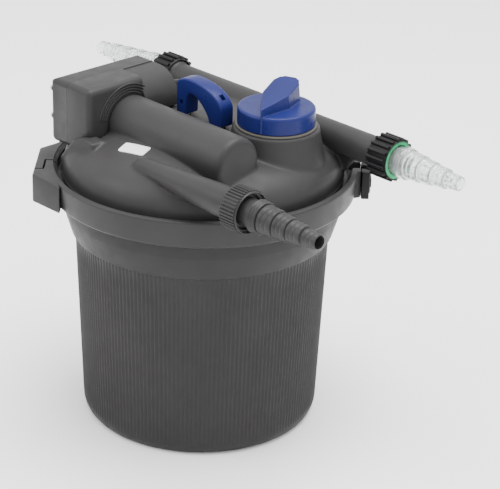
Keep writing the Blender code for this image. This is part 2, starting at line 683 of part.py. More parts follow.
def make_knob():
    """Rotary knob with its pointer wing, the valve rotor and the shaft seal."""
    axle = bpy.data.objects.new("knob_axis", None)
    axle.location = (NECK_X, NECK_Y, 0)
    bpy.context.scene.collection.objects.link(axle)
    top = KNOB_Z + SKIRT_H
    knob = turned("rotary_knob", [(0, KNOB_Z), (KNOB_R - 0.001, KNOB_Z),
                                  (KNOB_R, KNOB_Z + 0.001), (KNOB_R, top - 0.004),
                                  (KNOB_R - 0.004, top), (0, top)], BLUE, steps=40)
    along, across = Vector((1, 0)), Vector((0, 1))
    plan = [(KNOB_R - 0.0005, 0), (0.006, WING_HALF), (-0.030, WING_HALF), (-0.038, 0.008),
            (-0.038, -0.008), (-0.030, -WING_HALF), (0.006, -WING_HALF)]
    bm = bmesh.new()
    slope = (WING_END_H - WING_TIP_H) / (0.038 + KNOB_R)
    rings = []
    for low in (True, False):
        ring = []
        for p, q in plan:
            spot = along * p + across * (q * (1.0 if low else 0.82))
            rise = WING_TIP_H + slope * (KNOB_R - p)
            ring.append(bm.verts.new((spot.x, spot.y, KNOB_Z + 0.006 if low else top + rise)))
        rings.append(ring)
    bm.faces.new(rings[0][::-1])
    bm.faces.new(rings[1])
    for i in range(len(plan)):
        j = (i + 1) % len(plan)
        bm.faces.new((rings[0][i], rings[0][j], rings[1][j], rings[1][i]))
    wing = add_piece("knob_wing", bm)
    wing.rotation_euler = (0, 0, WING_ANGLE)
    join(knob, wing)
    rotor_low, rotor_high = ROTOR_SPAN
    shaft_top = KNOB_Z + 0.010
    rotor = turned("valve_rotor", [(0, rotor_low), (ROTOR_R, rotor_low), (ROTOR_R, rotor_high),
                                   (SHAFT_R, rotor_high), (SHAFT_R, shaft_top),
                                   (0, shaft_top)], BLACK, steps=24)
    port = block("rotor_port", (0.012, -0.012, rotor_low - 0.005), (0.060, 0.012,
                                                                   rotor_high - 0.006))
    cut(rotor, port)
    socket = rod("knob_socket", SHAFT_R + GAP, KNOB_Z - 0.01, shaft_top + GAP)
    cut(knob, socket)
    seal_low = NECK_TOP - LID_WALL - GAP - 0.004
    seal = tube("shaft_seal", SHAFT_R + GAP, SHAFT_R + 0.005, seal_low, seal_low + 0.004, RUBBER)
    for item in (knob, wing, rotor, port, socket, seal):
        item.parent = axle


# ---- UVC head ----

def make_head():
    """UVC housing and end cover, which sit in a pocket of the lid."""
    low, high = HEAD_LOW, HEAD_TOP
    cover = block("uvc_end_cover", (HEAD_LEFT, HEAD_FRONT, low),
                  (HEAD_SPLIT + 0.02, HEAD_BACK, high), CHARCOAL, HEAD_ROUND)
    inner_front, inner_back = HEAD_FRONT + HEAD_SIDE, HEAD_BACK - HEAD_SIDE
    cut(cover, block("cover_end", (HEAD_SPLIT - GAP, -0.2, 0.2), (0.0, 0.1, 0.5)),
        block("cover_hollow", (HEAD_LEFT + HEAD_WALL, inner_front, low + HEAD_WALL),
              (HEAD_SPLIT + 0.03, inner_back, high - HEAD_WALL)))
    housing = block("uvc_housing", (HEAD_SPLIT - 0.02, HEAD_FRONT, low),
                    (HEAD_RIGHT, HEAD_BACK, high), CHARCOAL, HEAD_ROUND)
    bulge = []
    for i in range(7):
        turn = math.pi / 2 * i / 6
        bulge.append((BULGE_START + (BULGE_END - BULGE_START) * math.sin(turn),
                      high - 0.002 - BULGE_DROP * (1 - math.cos(turn))))
    bulge += [(BULGE_END, BULGE_LOW), (BULGE_START, BULGE_LOW)]
    join(housing, prism("head_bulge", bulge, BULGE_FRONT, HEAD_BACK - 0.0005, along="Y"))
    tunnel = rod("housing_tunnel_space", TUNNEL_R + 0.0006, HEAD_RIGHT + 0.0002, 0.0, None,
                 (0, TUNNEL_Y, TUNNEL_Z), "X", 30)
    cut(housing, tunnel,
        block("housing_end", (-0.2, -0.2, 0.2), (HEAD_SPLIT, 0.1, 0.5)),
        block("housing_hollow", (HEAD_SPLIT - 0.03, inner_front, low + HEAD_WALL),
              (HEAD_RIGHT - HEAD_WALL, inner_back, high - HEAD_WALL)))
    place = (0, TUNNEL_Y, TUNNEL_Z)
    wall = HEAD_RIGHT - HEAD_WALL
    stub = turned("head_stub", [(STUB_BORE_R, wall + 0.0005), (STUB_R + 0.004, wall + 0.0005),
                                (STUB_R + 0.004, HEAD_RIGHT - 0.0005),
                                (STUB_R, HEAD_RIGHT - 0.0005), (STUB_R, SEAL_SEAT[0]),
                                (STUB_R - 0.002, SEAL_SEAT[0]), (STUB_R - 0.002, SEAL_SEAT[1]),
                                (STUB_R, SEAL_SEAT[1]), (STUB_R, STUB_END), (STUB_BORE_R, STUB_END)],
                  place=place, axis="X", steps=32)
    join(housing, stub)
    cut(housing, rod("stub_bore", STUB_BORE_R, wall - 0.002, STUB_END + 0.002, None, place,
                     "X", 32))
    tube("stub_seal", STUB_R - 0.0017, STUB_R + 0.0001, SEAL_SEAT[0] + GAP,
         SEAL_SEAT[1] - GAP, RUBBER, place, "X")
    make_head_fixings(cover, housing)


def make_head_fixings(cover, housing):
    """Cover screws, the cable gland and the holes that take them."""
    number = 0
    for y in (HEAD_FRONT + HEAD_SIDE / 2, HEAD_BACK - HEAD_SIDE / 2):
        for z in (HEAD_LOW + 0.030, HEAD_TOP - 0.014):
            number += 1
            place = (HEAD_LEFT - GAP, y, z)
            turned(f"cover_screw_{number}", [(0, -0.0022), (0.0032, -0.0022), (0.0036, 0),
                                             (SCREW_R, 0), (SCREW_R, SCREW_LONG),
                                             (0, SCREW_LONG)], STEEL, place, "X", 12)
            hole = rod(f"cover_screw_hole_{number}", SCREW_R + GAP, -0.01, SCREW_LONG + 0.001,
                       None, place, "X", 12)
            cut(cover, hole)
            cut(housing, hole)
    place = (HEAD_LEFT + 0.051, HEAD_BACK, HEAD_TOP - 0.032)
    gland = turned("cable_gland", [(0.0035, -0.012), (0.007, -0.012), (0.007, GAP),
                                   (0.011, GAP), (0.011, 0.009), (0.009, 0.012),
                                   (0.0075, 0.022), (0.0035, 0.022)], BLACK, place, "Y", 16)
    gland["fits"] = "mains lead"
    cut(housing, rod("gland_hole", 0.007 + GAP, -0.02, 0.01, None, place, "Y", 16))


def make_lamp():
    """Ballast, lamp holder, lamp, quartz sleeve, its seal and its nut."""
    ceiling = HEAD_TOP - HEAD_WALL - GAP
    block("ballast", (HEAD_LEFT + HEAD_WALL + 0.002, HEAD_FRONT + HEAD_SIDE + 0.003,
                      ceiling - 0.012),
          (HEAD_RIGHT - HEAD_WALL - 0.003, HEAD_BACK - HEAD_SIDE - 0.016, ceiling), BLACK)
    place = (0, TUNNEL_Y, TUNNEL_Z)
    wall = HEAD_RIGHT - HEAD_WALL
    turned("lamp_holder", [(0, wall - 0.008), (0.023, wall - 0.008), (0.023, wall - GAP),
                           (0.0125, wall - GAP), (0.0125, wall + 0.010), (0, wall + 0.010)],
           WHITE, place, "X", 24)
    base = wall + 0.010 + GAP
    lamp = rod("uvc_lamp", 0.0125, base, base + 0.016, WHITE, place, "X", 20)
    middle = LAMP_TUBE_R + 0.001
    for i, side in enumerate((-1, 1)):
        join(lamp, rod(f"lamp_tube_{i}", LAMP_TUBE_R, base + 0.012, LAMP_END, None,
                       (0, TUNNEL_Y + side * middle, TUNNEL_Z), "X", 12))
    join(lamp, rod("lamp_bridge", 0.003, TUNNEL_Y - middle, TUNNEL_Y + middle, None,
                   (LAMP_END - 0.008, 0, TUNNEL_Z), "Y", 8))
    inner = SLEEVE_R - SLEEVE_WALL
    mouth = wall + GAP
    turned("quartz_sleeve", [(inner, mouth), (SLEEVE_R, mouth), (SLEEVE_R, SLEEVE_END - 0.006),
                             (SLEEVE_R - 0.006, SLEEVE_END), (0, SLEEVE_END),
                             (0, SLEEVE_END - 0.003), (inner - 0.006, SLEEVE_END - 0.003),
                             (inner, SLEEVE_END - 0.008)], CLEAR, place, "X", 24)
    seal = mouth + 0.001
    tube("sleeve_seal", SLEEVE_R + GAP, STUB_BORE_R - GAP, seal, seal + 0.004, RUBBER, place,
         "X")
    nut = seal + 0.004 + GAP
    turned("sleeve_nut", [(SLEEVE_R + GAP, nut), (STUB_BORE_R - GAP, nut),
                          (STUB_BORE_R - GAP, STUB_END + GAP), (STUB_R - 0.001, STUB_END + GAP),
                          (STUB_R - 0.001, STUB_END + 0.004), (SLEEVE_R + GAP,
                                                              STUB_END + 0.004)],
           BLACK, place, "X", 24)


def main():
    """Build every piece."""
    clear_scene()
    make_canister()
    make_filter_stack()
    make_lid()
    make_lid_trim()
    make_squeeze_unit()
    make_clamp()
    make_unions()
    make_knob()
    make_head()
    make_lamp()


main()
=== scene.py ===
"""Looks of the pressurised pond filter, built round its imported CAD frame.

Everything is in metres in the frame's axes: +Z up, +X along the lamp tunnel and the pipes,
and the clamp ring closes on the -X -Y side.
"""
import json
import logging
import math
from dataclasses import dataclass
from enum import Enum

import bmesh
import bpy
from mathutils import Matrix, Vector

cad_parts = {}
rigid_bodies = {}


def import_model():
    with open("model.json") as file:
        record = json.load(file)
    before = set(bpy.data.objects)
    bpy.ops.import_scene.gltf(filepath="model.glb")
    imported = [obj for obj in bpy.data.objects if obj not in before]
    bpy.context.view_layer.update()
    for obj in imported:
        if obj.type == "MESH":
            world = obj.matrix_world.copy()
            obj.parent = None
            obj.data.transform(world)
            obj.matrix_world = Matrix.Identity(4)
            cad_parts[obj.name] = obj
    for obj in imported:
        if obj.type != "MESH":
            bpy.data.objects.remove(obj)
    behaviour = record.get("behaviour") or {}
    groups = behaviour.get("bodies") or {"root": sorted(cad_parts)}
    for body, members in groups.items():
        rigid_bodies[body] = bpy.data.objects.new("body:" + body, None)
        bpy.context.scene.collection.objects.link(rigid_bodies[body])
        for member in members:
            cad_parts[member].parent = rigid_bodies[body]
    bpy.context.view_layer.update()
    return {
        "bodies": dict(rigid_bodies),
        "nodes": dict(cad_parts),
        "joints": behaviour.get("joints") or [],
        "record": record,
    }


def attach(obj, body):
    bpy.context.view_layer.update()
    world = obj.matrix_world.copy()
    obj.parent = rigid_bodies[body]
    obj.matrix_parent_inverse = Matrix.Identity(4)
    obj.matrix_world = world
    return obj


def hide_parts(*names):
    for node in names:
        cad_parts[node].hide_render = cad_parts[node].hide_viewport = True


log = logging.getLogger("pond_filter")

Point = tuple[float, float]
Spot = tuple[float, float, float]
TURN = 2 * math.pi


class Axis(Enum):
    """The way a turned piece's own height runs in the frame."""

    UP = Matrix.Identity(4)
    RIGHT = Matrix.Rotation(math.pi / 2, 4, "Y")
    LEFT = Matrix.Rotation(-math.pi / 2, 4, "Y")
    BACK = Matrix.Rotation(-math.pi / 2, 4, "X")


class Cut(Enum):
    """What a boolean does with its operands."""

    JOIN = "UNION"
    REMOVE = "DIFFERENCE"
    KEEP = "INTERSECT"


# ---- finishes ----

class NodeBench:
    """Adds and joins the nodes of one tree."""

    tree: bpy.types.NodeTree

    def add(self, kind: str, **values: object) -> bpy.types.Node:
        """Add a node.

        Args:
            kind: The node's type.
            values: Properties of the node, or inputs by name with spaces as underscores.

        Returns:
            The new node.
        """
        node = self.tree.nodes.new(kind)
        for key, value in values.items():
            if key in node.bl_rna.properties:
                setattr(node, key, value)
            else:
                node.inputs[key.replace("_", " ")].default_value = value
        return node

    def link(self, source: bpy.types.NodeSocket, target: bpy.types.NodeSocket) -> None:
        """Join two sockets."""
        self.tree.links.new(source, target)


class NodeSheet(NodeBench):
    """Lays out the nodes of one material."""

    def __init__(self, name: str) -> None:
        """Start an empty material with an output and a Principled shader."""
        self.material = bpy.data.materials.new(name)
        self.material.use_nodes = True
        self.tree = self.material.node_tree
        self.shader = self.tree.nodes["Principled BSDF"]
        self.object_coords = self.add("ShaderNodeTexCoord").outputs["Object"]

    def noise(self, scale: float, detail: float = 3.0, stretch: Spot = (1, 1, 1)
              ) -> bpy.types.NodeSocket:
        """Noise over the piece, in the frame's metres.

        Args:
            scale: Cells per metre.
            detail: Octaves.
            stretch: Scale of each axis, for streaks.

        Returns:
            The noise's factor socket.
        """
        mapping = self.add("ShaderNodeMapping")
        mapping.inputs["Scale"].default_value = stretch
        self.link(self.object_coords, mapping.inputs["Vector"])
        node = self.add("ShaderNodeTexNoise", Scale=scale, Detail=detail)
        self.link(mapping.outputs[0], node.inputs["Vector"])
        return node.outputs["Fac"]

    def ramp(self, source: bpy.types.NodeSocket, stops: list[tuple[float, Spot]],
             target: bpy.types.NodeSocket) -> None:
        """Colour a factor through a ramp.

        Args:
            source: The factor.
            stops: Positions and their colours.
            target: Where the colour goes.
        """
        node = self.add("ShaderNodeValToRGB")
        elements = node.color_ramp.elements
        while len(elements) < len(stops):
            elements.new(0.5)
        for element, (place, colour) in zip(elements, stops):
            element.position = place
            element.color = (*colour, 1)
        self.link(source, node.inputs["Fac"])
        self.link(node.outputs["Color"], target)

    def spread(self, source: bpy.types.NodeSocket, low: float, high: float,
               target: bpy.types.NodeSocket) -> None:
        """Map a noise factor from its usual 0.3 to 0.7 onto a range of a socket."""
        node = self.add("ShaderNodeMapRange", From_Min=0.3, From_Max=0.7, To_Min=low,
                        To_Max=high)
        self.link(source, node.inputs["Value"])
        self.link(node.outputs["Result"], target)

    def bump(self, source: bpy.types.NodeSocket, depth: float, strength: float) -> None:
        """Bump the shader's normal, above any bump that it has already."""
        node = self.add("ShaderNodeBump", Distance=depth, Strength=strength)
        self.link(source, node.inputs["Height"])
        if self.shader.inputs["Normal"].links:
            self.link(self.shader.inputs["Normal"].links[0].from_socket, node.inputs["Normal"])
        self.link(node.outputs["Normal"], self.shader.inputs["Normal"])


@dataclass(frozen=True)
class MouldedPlastic:
    """Injection-moulded plastic: a fine grain, faint flow marks and handling wear."""

    name: str
    colour: Spot
    shift: float = 0.12
    rough_low: float = 0.38
    rough_high: float = 0.52
    grain: float = 0.00012
    shine: float = 0.14

    def build(self) -> bpy.types.Material:
        """Make the material."""
        sheet = NodeSheet(self.name)
        dark = tuple(c * (1 - self.shift) for c in self.colour)
        light = tuple(min(1.0, c * (1 + self.shift)) for c in self.colour)
        flow = sheet.noise(11, 4)
        sheet.ramp(flow, [(0.32, dark), (0.5, self.colour), (0.7, light)],
                   sheet.shader.inputs["Base Color"])
        sheet.spread(sheet.noise(70, 5), self.rough_low, self.rough_high,
                     sheet.shader.inputs["Roughness"])
        sheet.bump(sheet.noise(1500, 2), self.grain, 0.55)
        sheet.bump(sheet.noise(26, 2), 0.0006, 0.10)
        sheet.shader.inputs["Specular IOR Level"].default_value = self.shine
        return sheet.material


@dataclass(frozen=True)
class ClearPlastic:
    """Clear moulded plastic with slight ripples."""

    name: str
    colour: Spot
    ior: float = 1.49
    rough_low: float = 0.03
    rough_high: float = 0.10
    clearness: float = 0.9

    def build(self) -> bpy.types.Material:
        """Make the material."""
        sheet = NodeSheet(self.name)
        haze = tuple(c * 0.93 for c in self.colour)
        sheet.ramp(sheet.noise(60, 3), [(0.3, haze), (0.7, self.colour)],
                   sheet.shader.inputs["Base Color"])
        sheet.spread(sheet.noise(120, 3), self.rough_low, self.rough_high,
                     sheet.shader.inputs["Roughness"])
        sheet.bump(sheet.noise(90, 2), 0.0003, 0.25)
        sheet.shader.inputs["Transmission Weight"].default_value = self.clearness
        sheet.shader.inputs["IOR"].default_value = self.ior
        return sheet.material


@dataclass(frozen=True)
class Rubber:
    """Matt black rubber with a dusty bloom."""

    name: str
    colour: Spot = (0.018, 0.018, 0.018)

    def build(self) -> bpy.types.Material:
        """Make the material."""
        sheet = NodeSheet(self.name)
        bloom = tuple(c * 1.9 for c in self.colour)
        sheet.ramp(sheet.noise(120, 4), [(0.35, self.colour), (0.75, bloom)],
                   sheet.shader.inputs["Base Color"])
        sheet.spread(sheet.noise(300, 3), 0.68, 0.85, sheet.shader.inputs["Roughness"])
        sheet.bump(sheet.noise(2200, 2), 0.0001, 0.4)
        return sheet.material


@dataclass(frozen=True)
class Foam:
    """Open-cell filter foam, with painted shade in its sunken cell edges."""

    name: str
    colour: Spot
    cell: float = 420.0

    def build(self) -> bpy.types.Material:
        """Make the material."""
        sheet = NodeSheet(self.name)
        cells = sheet.add("ShaderNodeTexVoronoi", Scale=self.cell)
        sheet.link(sheet.object_coords, cells.inputs["Vector"])
        # Painted shade: the colour darkens towards the cell edges, which the bump below sinks.
        dark = tuple(c * 0.35 for c in self.colour)
        sheet.ramp(cells.outputs["Distance"], [(0.1, self.colour), (0.7, dark)],
                   sheet.shader.inputs["Base Color"])
        sheet.spread(sheet.noise(200, 3), 0.85, 0.98, sheet.shader.inputs["Roughness"])
        sheet.bump(cells.outputs["Distance"], -0.0012, 0.8)
        return sheet.material


@dataclass(frozen=True)
class DrawnSteel:
    """Stainless steel with fine drawing marks."""

    name: str
    colour: Spot = (0.60, 0.61, 0.62)

    def build(self) -> bpy.types.Material:
        """Make the material."""
        sheet = NodeSheet(self.name)
        dark = tuple(c * 0.8 for c in self.colour)
        marks = sheet.noise(900, 3, (1, 1, 0.06))
        sheet.ramp(marks, [(0.35, dark), (0.65, self.colour)],
                   sheet.shader.inputs["Base Color"])
        sheet.spread(marks, 0.22, 0.38, sheet.shader.inputs["Roughness"])
        sheet.bump(marks, 0.00005, 0.4)
        sheet.shader.inputs["Metallic"].default_value = 1.0
        return sheet.material


CHARCOAL = MouldedPlastic("charcoal_plastic", (0.029, 0.028, 0.0284), 0.10, 0.36, 0.50)
CANISTER_GREY = MouldedPlastic("canister_plastic", (0.0235, 0.0226, 0.0230), 0.10, 0.40, 0.55)
BLACK = MouldedPlastic("black_plastic", (0.008, 0.008, 0.0085), 0.15, 0.30, 0.45)
GRAPHITE = MouldedPlastic("graphite_plastic", (0.027, 0.0264, 0.027), 0.12, 0.30, 0.42)
BLUE = MouldedPlastic("blue_plastic", (0.010, 0.0145, 0.092), 0.10, 0.26, 0.38, 0.00008)
GREEN = MouldedPlastic("green_plastic", (0.022, 0.30, 0.12), 0.12, 0.25, 0.4, 0.00006)
RING_GREY = MouldedPlastic("neck_ring_plastic", (0.085, 0.080, 0.070), 0.10, 0.4, 0.55)
WHITE = MouldedPlastic("lamp_plastic", (0.75, 0.75, 0.72), 0.05, 0.3, 0.4, 0.00005)
PLATE = MouldedPlastic("plate_white", (0.72, 0.72, 0.74), 0.06, 0.25, 0.4, 0.00005)
CLEAR = ClearPlastic("clear_plastic", (0.93, 0.96, 0.96))
QUARTZ = ClearPlastic("quartz", (0.97, 0.98, 0.99), 1.46, 0.01, 0.04, 1.0)
RUBBER = Rubber("rubber_seal")
FOAM = Foam("filter_foam", (0.10, 0.20, 0.45))
STEEL = DrawnSteel("stainless_steel")


Finish = MouldedPlastic | ClearPlastic | Rubber | Foam | DrawnSteel


class FinishBook:
    """Makes each finish once and hands it out."""

    def __init__(self) -> None:
        """Start with no finish made."""
        self.made: dict[str, bpy.types.Material] = {}

    def get(self, finish: Finish) -> bpy.types.Material:
        """The material of a finish.

        Args:
            finish: One of the finishes above.

        Returns:
            Its material, made on first use.
        """
        if finish.name not in self.made:
            self.made[finish.name] = finish.build()
        return self.made[finish.name]


# ---- making meshes ----

def add_object(name: str, bm: bmesh.types.BMesh) -> bpy.types.Object:
    """Turn a bmesh into an object at the origin, smooth except at its sharp edges."""
    mesh = bpy.data.meshes.new(name)
    bm.to_mesh(mesh)
    bm.free()
    piece = bpy.data.objects.new(name, mesh)
    bpy.context.scene.collection.objects.link(piece)
    shade(piece)
    return piece


def shade(piece: bpy.types.Object, angle: float = 35.0) -> None:
    """Shade smooth, with edges sharper than an angle in degrees kept."""
    piece.data.shade_smooth()
    piece.data.set_sharp_from_angle(angle=math.radians(angle))


def soften(outline: list[Point], radius: float, steps: int = 4) -> list[Point]:
    """Round the corners of an outline that are off the axis.

    Args:
        outline: Corners as (radius, height); a corner at radius 0 stays.
        radius: How far from a corner its rounding starts, at most.
        steps: Segments in each rounding.

    Returns:
        The longer outline.
    """
    out: list[Point] = []
    count = len(outline)
    for i, corner in enumerate(outline):
        here = Vector(corner)
        before, after = Vector(outline[i - 1]), Vector(outline[(i + 1) % count])
        reach = min(radius, (before - here).length * 0.45, (after - here).length * 0.45)
        if corner[0] <= 0 or reach < 1e-5:
            out.append(corner)
            continue
        start = here + (before - here).normalized() * reach
        stop = here + (after - here).normalized() * reach
        for k in range(steps + 1):
            t = k / steps
            spot = start * (1 - t) ** 2 + here * 2 * t * (1 - t) + stop * t ** 2
            out.append((spot.x, spot.y))
    return out


def lathe(name: str, outline: list[Point], steps: int = 96, place: Spot = (0, 0, 0),
          axis: Axis = Axis.UP) -> bpy.types.Object:
    """Turn a closed outline round an axis.

    Args:
        name: The piece's name.
        outline: Points as (radius, height); the last joins the first.
        steps: Segments round.
        place: Where the axis starts.
        axis: The way the height runs.

    Returns:
        The piece, with its place in its mesh.
    """
    bm = bmesh.new()
    move = Matrix.Translation(place) @ axis.value
    rings = []
    for radius, height in outline:
        if radius <= 0:
            rings.append([bm.verts.new(move @ Vector((0, 0, height)))])
        else:
            rings.append([bm.verts.new(move @ Vector((radius * math.cos(TURN * i / steps),
                                                      radius * math.sin(TURN * i / steps),
                                                      height))) for i in range(steps)])
    for low, high in zip(rings, rings[1:] + rings[:1]):
        for i in range(steps):
            j = (i + 1) % steps
            corners = [low[i % len(low)], low[j % len(low)], high[j % len(high)],
                       high[i % len(high)]]
            face = list(dict.fromkeys(corners))
            if len(face) > 2:
                bm.faces.new(face)
    bmesh.ops.recalc_face_normals(bm, faces=bm.faces)
    return add_object(name, bm)


def rod(name: str, radius: float, low: float, high: float, steps: int,
        place: Spot = (0, 0, 0), axis: Axis = Axis.UP) -> bpy.types.Object:
    """A solid round bar between two heights on its axis."""
    return lathe(name, [(0, low), (radius, low), (radius, high), (0, high)], steps, place,
                 axis)


def prism(name: str, outline: list[Point], low: float, high: float, along: str = "Z"
          ) -> bpy.types.Object:
    """A straight prism.

    Args:
        name: The piece's name.
        outline: Corners in XY, or in XZ when it runs along Y.
        low: Where it starts.
        high: Where it ends.
        along: "Z" or "Y".

    Returns:
        The piece.
    """
    bm = bmesh.new()
    ends = []
    for level in (low, high):
        ends.append([bm.verts.new((a, b, level) if along == "Z" else (a, level, b))
                     for a, b in outline])
    bm.faces.new(ends[0])
    bm.faces.new(ends[1][::-1])
    for i in range(len(outline)):
        j = (i + 1) % len(outline)
        bm.faces.new((ends[0][i], ends[0][j], ends[1][j], ends[1][i]))
    bmesh.ops.recalc_face_normals(bm, faces=bm.faces)
    return add_object(name, bm)


def box(name: str, low: Spot, high: Spot, rounding: float = 0.0, segments: int = 5
        ) -> bpy.types.Object:
    """A box between two corners, with its edges rounded if asked."""
    bm = bmesh.new()
    bmesh.ops.create_cube(bm, size=1)
    for v in bm.verts:
        v.co = Vector([low[k] + (v.co[k] + 0.5) * (high[k] - low[k]) for k in range(3)])
    if rounding:
        bmesh.ops.bevel(bm, geom=bm.edges[:], offset=rounding, segments=segments,
                        affect="EDGES", profile=0.5)
    return add_object(name, bm)


def bake(piece: bpy.types.Object) -> bpy.types.Object:
    """Put what a piece's modifiers make into its mesh and remove them."""
    bpy.context.view_layer.update()
    depsgraph = bpy.context.evaluated_depsgraph_get()
    mesh = bpy.data.meshes.new_from_object(piece.evaluated_get(depsgraph),
                                           preserve_all_data_layers=True,
                                           depsgraph=depsgraph)
    piece.modifiers.clear()
    old = piece.data
    piece.data = mesh
    bpy.data.meshes.remove(old)
    return piece


def combine(piece: bpy.types.Object, how: Cut, *others: bpy.types.Object
            ) -> bpy.types.Object:
    """Boolean a piece with others, which are used up."""
    group = bpy.data.collections.new(piece.name + "_operands")
    bpy.context.scene.collection.children.link(group)
    for other in others:
        group.objects.link(other)
    step = piece.modifiers.new("combine", "BOOLEAN")
    step.operand_type = "COLLECTION"
    step.collection = group
    step.operation = how.value
    step.solver = "EXACT"
    bake(piece)
    for other in others:
        bpy.data.objects.remove(other)
    bpy.data.collections.remove(group)
    shade(piece)
    return piece


def soften_edges(piece: bpy.types.Object, width: float, segments: int = 3,
                 angle: float = 35.0) -> bpy.types.Object:
    """Round every edge that is sharper than an angle in degrees."""
    step = piece.modifiers.new("edges", "BEVEL")
    step.width = width
    step.segments = segments
    step.limit_method = "ANGLE"
    step.angle_limit = math.radians(angle)
    step.use_clamp_overlap = True
    bake(piece)
    shade(piece)
    return piece


def melt(piece: bpy.types.Object, voxel: float, passes: int) -> bpy.types.Object:
    """Give a joined piece the even fillets of one moulding.

    Args:
        piece: The joined bodies.
        voxel: The grid that it is rebuilt on.
        passes: Rounds of smoothing.

    Returns:
        The piece.
    """
    step = piece.modifiers.new("rebuild", "REMESH")
    step.mode = "VOXEL"
    step.voxel_size = voxel
    step = piece.modifiers.new("smooth", "SMOOTH")
    step.factor = 0.5
    step.iterations = passes
    bake(piece)
    shade(piece, 60)
    return piece


# ---- repeated detail, made by geometry nodes ----

class NodeRig(NodeBench):
    """A geometry node tree with named inputs, used on one piece at a time."""

    def __init__(self, name: str, inputs: dict[str, float | int]) -> None:
        """Start a tree that takes a mesh and the named sizes.

        Args:
            name: The tree's name.
            inputs: Each size with its value; whole numbers make integer inputs.
        """
        self.tree = bpy.data.node_groups.new(name, "GeometryNodeTree")
        self.values = inputs
        sheet = self.tree.interface
        sheet.new_socket("Geometry", in_out="INPUT", socket_type="NodeSocketGeometry")
        self.ids = {}
        for key, value in inputs.items():
            kind = "NodeSocketInt" if isinstance(value, int) else "NodeSocketFloat"
            self.ids[key] = sheet.new_socket(key, in_out="INPUT", socket_type=kind).identifier
        sheet.new_socket("Geometry", in_out="OUTPUT", socket_type="NodeSocketGeometry")
        self.source = self.tree.nodes.new("NodeGroupInput")
        self.sink = self.tree.nodes.new("NodeGroupOutput")

    def size(self, key: str) -> bpy.types.NodeSocket:
        """The output that carries a named size."""
        return self.source.outputs[key]

    def math(self, operation: str, *terms: bpy.types.NodeSocket | float
             ) -> bpy.types.NodeSocket:
        """A math node on sockets or numbers."""
        node = self.add("ShaderNodeMath", operation=operation)
        for socket, term in zip(node.inputs, terms):
            if isinstance(term, (int, float)):
                socket.default_value = term
            else:
                self.link(term, socket)
        return node.outputs[0]

    def lay(self, detail: bpy.types.NodeSocket, turn: Spot, centre: Spot
            ) -> bpy.types.NodeSocket:
        """Turn and place the detail, and join it with the mesh that came in."""
        move = self.add("GeometryNodeTransform")
        move.inputs["Rotation"].default_value = turn
        move.inputs["Translation"].default_value = centre
        self.link(detail, move.inputs["Geometry"])
        both = self.add("GeometryNodeJoinGeometry")
        self.link(move.outputs[0], both.inputs[0])
        self.link(self.source.outputs["Geometry"], both.inputs[0])
        return both.outputs[0]

    def close(self, geometry: bpy.types.NodeSocket, material: bpy.types.Material) -> None:
        """End the tree: realise the instances, then set the material."""
        real = self.add("GeometryNodeRealizeInstances")
        dress = self.add("GeometryNodeSetMaterial")
        dress.inputs["Material"].default_value = material
        self.link(geometry, real.inputs[0])
        self.link(real.outputs[0], dress.inputs["Geometry"])
        self.link(dress.outputs[0], self.sink.inputs[0])

    def use(self, piece: bpy.types.Object, angle: float = 35.0) -> bpy.types.Object:
        """Run the tree on a piece and keep the result as its plain mesh."""
        step = piece.modifiers.new(self.tree.name, "NODES")
        step.node_group = self.tree
        for key, value in self.values.items():
            step[self.ids[key]] = value
        bake(piece)
        shade(piece, angle)
        return piece


def flute_rig(count: int, depth: float, low: float, high: float, fade: float,
              inside: float, material: bpy.types.Material) -> NodeRig:
    """A tree that presses upright flutes into a round wall.

    Args:
        count: Flutes round the wall.
        depth: How deep each is.
        low: Height where they start.
        high: Height where they end.
        fade: Height over which they run out.
        inside: Radius up to which the mesh is left alone.
        material: The wall's material.

    Returns:
        The tree, ready to use.
    """
    rig = NodeRig("flutes", {"Count": count, "Depth": depth, "Low": low, "High": high,
                             "Fade": fade, "Inside": inside})
    place = rig.add("GeometryNodeInputPosition")
    axes = rig.add("ShaderNodeSeparateXYZ")
    rig.link(place.outputs[0], axes.inputs[0])
    x, y, z = axes.outputs
    turn = rig.math("ARCTAN2", y, x)
    wave = rig.math("COSINE", rig.math("MULTIPLY", turn, rig.size("Count")))
    dip = rig.math("MULTIPLY", rig.math("SUBTRACT", 1.0, wave), 0.5)
    rise = rig.add("ShaderNodeMapRange")
    rig.link(z, rise.inputs["Value"])
    rig.link(rig.size("Low"), rise.inputs["From Min"])
    rig.link(rig.math("ADD", rig.size("Low"), rig.size("Fade")), rise.inputs["From Max"])
    fall = rig.add("ShaderNodeMapRange")
    rig.link(z, fall.inputs["Value"])
    rig.link(rig.size("High"), fall.inputs["From Min"])
    rig.link(rig.math("SUBTRACT", rig.size("High"), rig.size("Fade")),
             fall.inputs["From Max"])
    share = rig.math("MULTIPLY", rise.outputs[0], fall.outputs[0])
    reach = rig.math("SQRT", rig.math("ADD", rig.math("MULTIPLY", x, x),
                                      rig.math("MULTIPLY", y, y)))
    outside = rig.math("GREATER_THAN", reach, rig.size("Inside"))
    pull = rig.math("MULTIPLY", rig.math("MULTIPLY", rig.size("Depth"), dip),
                    rig.math("MULTIPLY", share, outside))
    shrink = rig.math("MULTIPLY", rig.math("DIVIDE", pull, reach), -1.0)
    offset = rig.add("ShaderNodeCombineXYZ")
    rig.link(rig.math("MULTIPLY", x, shrink), offset.inputs["X"])
    rig.link(rig.math("MULTIPLY", y, shrink), offset.inputs["Y"])
    move = rig.add("GeometryNodeSetPosition")
    rig.link(rig.source.outputs["Geometry"], move.inputs["Geometry"])
    rig.link(offset.outputs[0], move.inputs["Offset"])
    rig.close(move.outputs[0], material)
    return rig


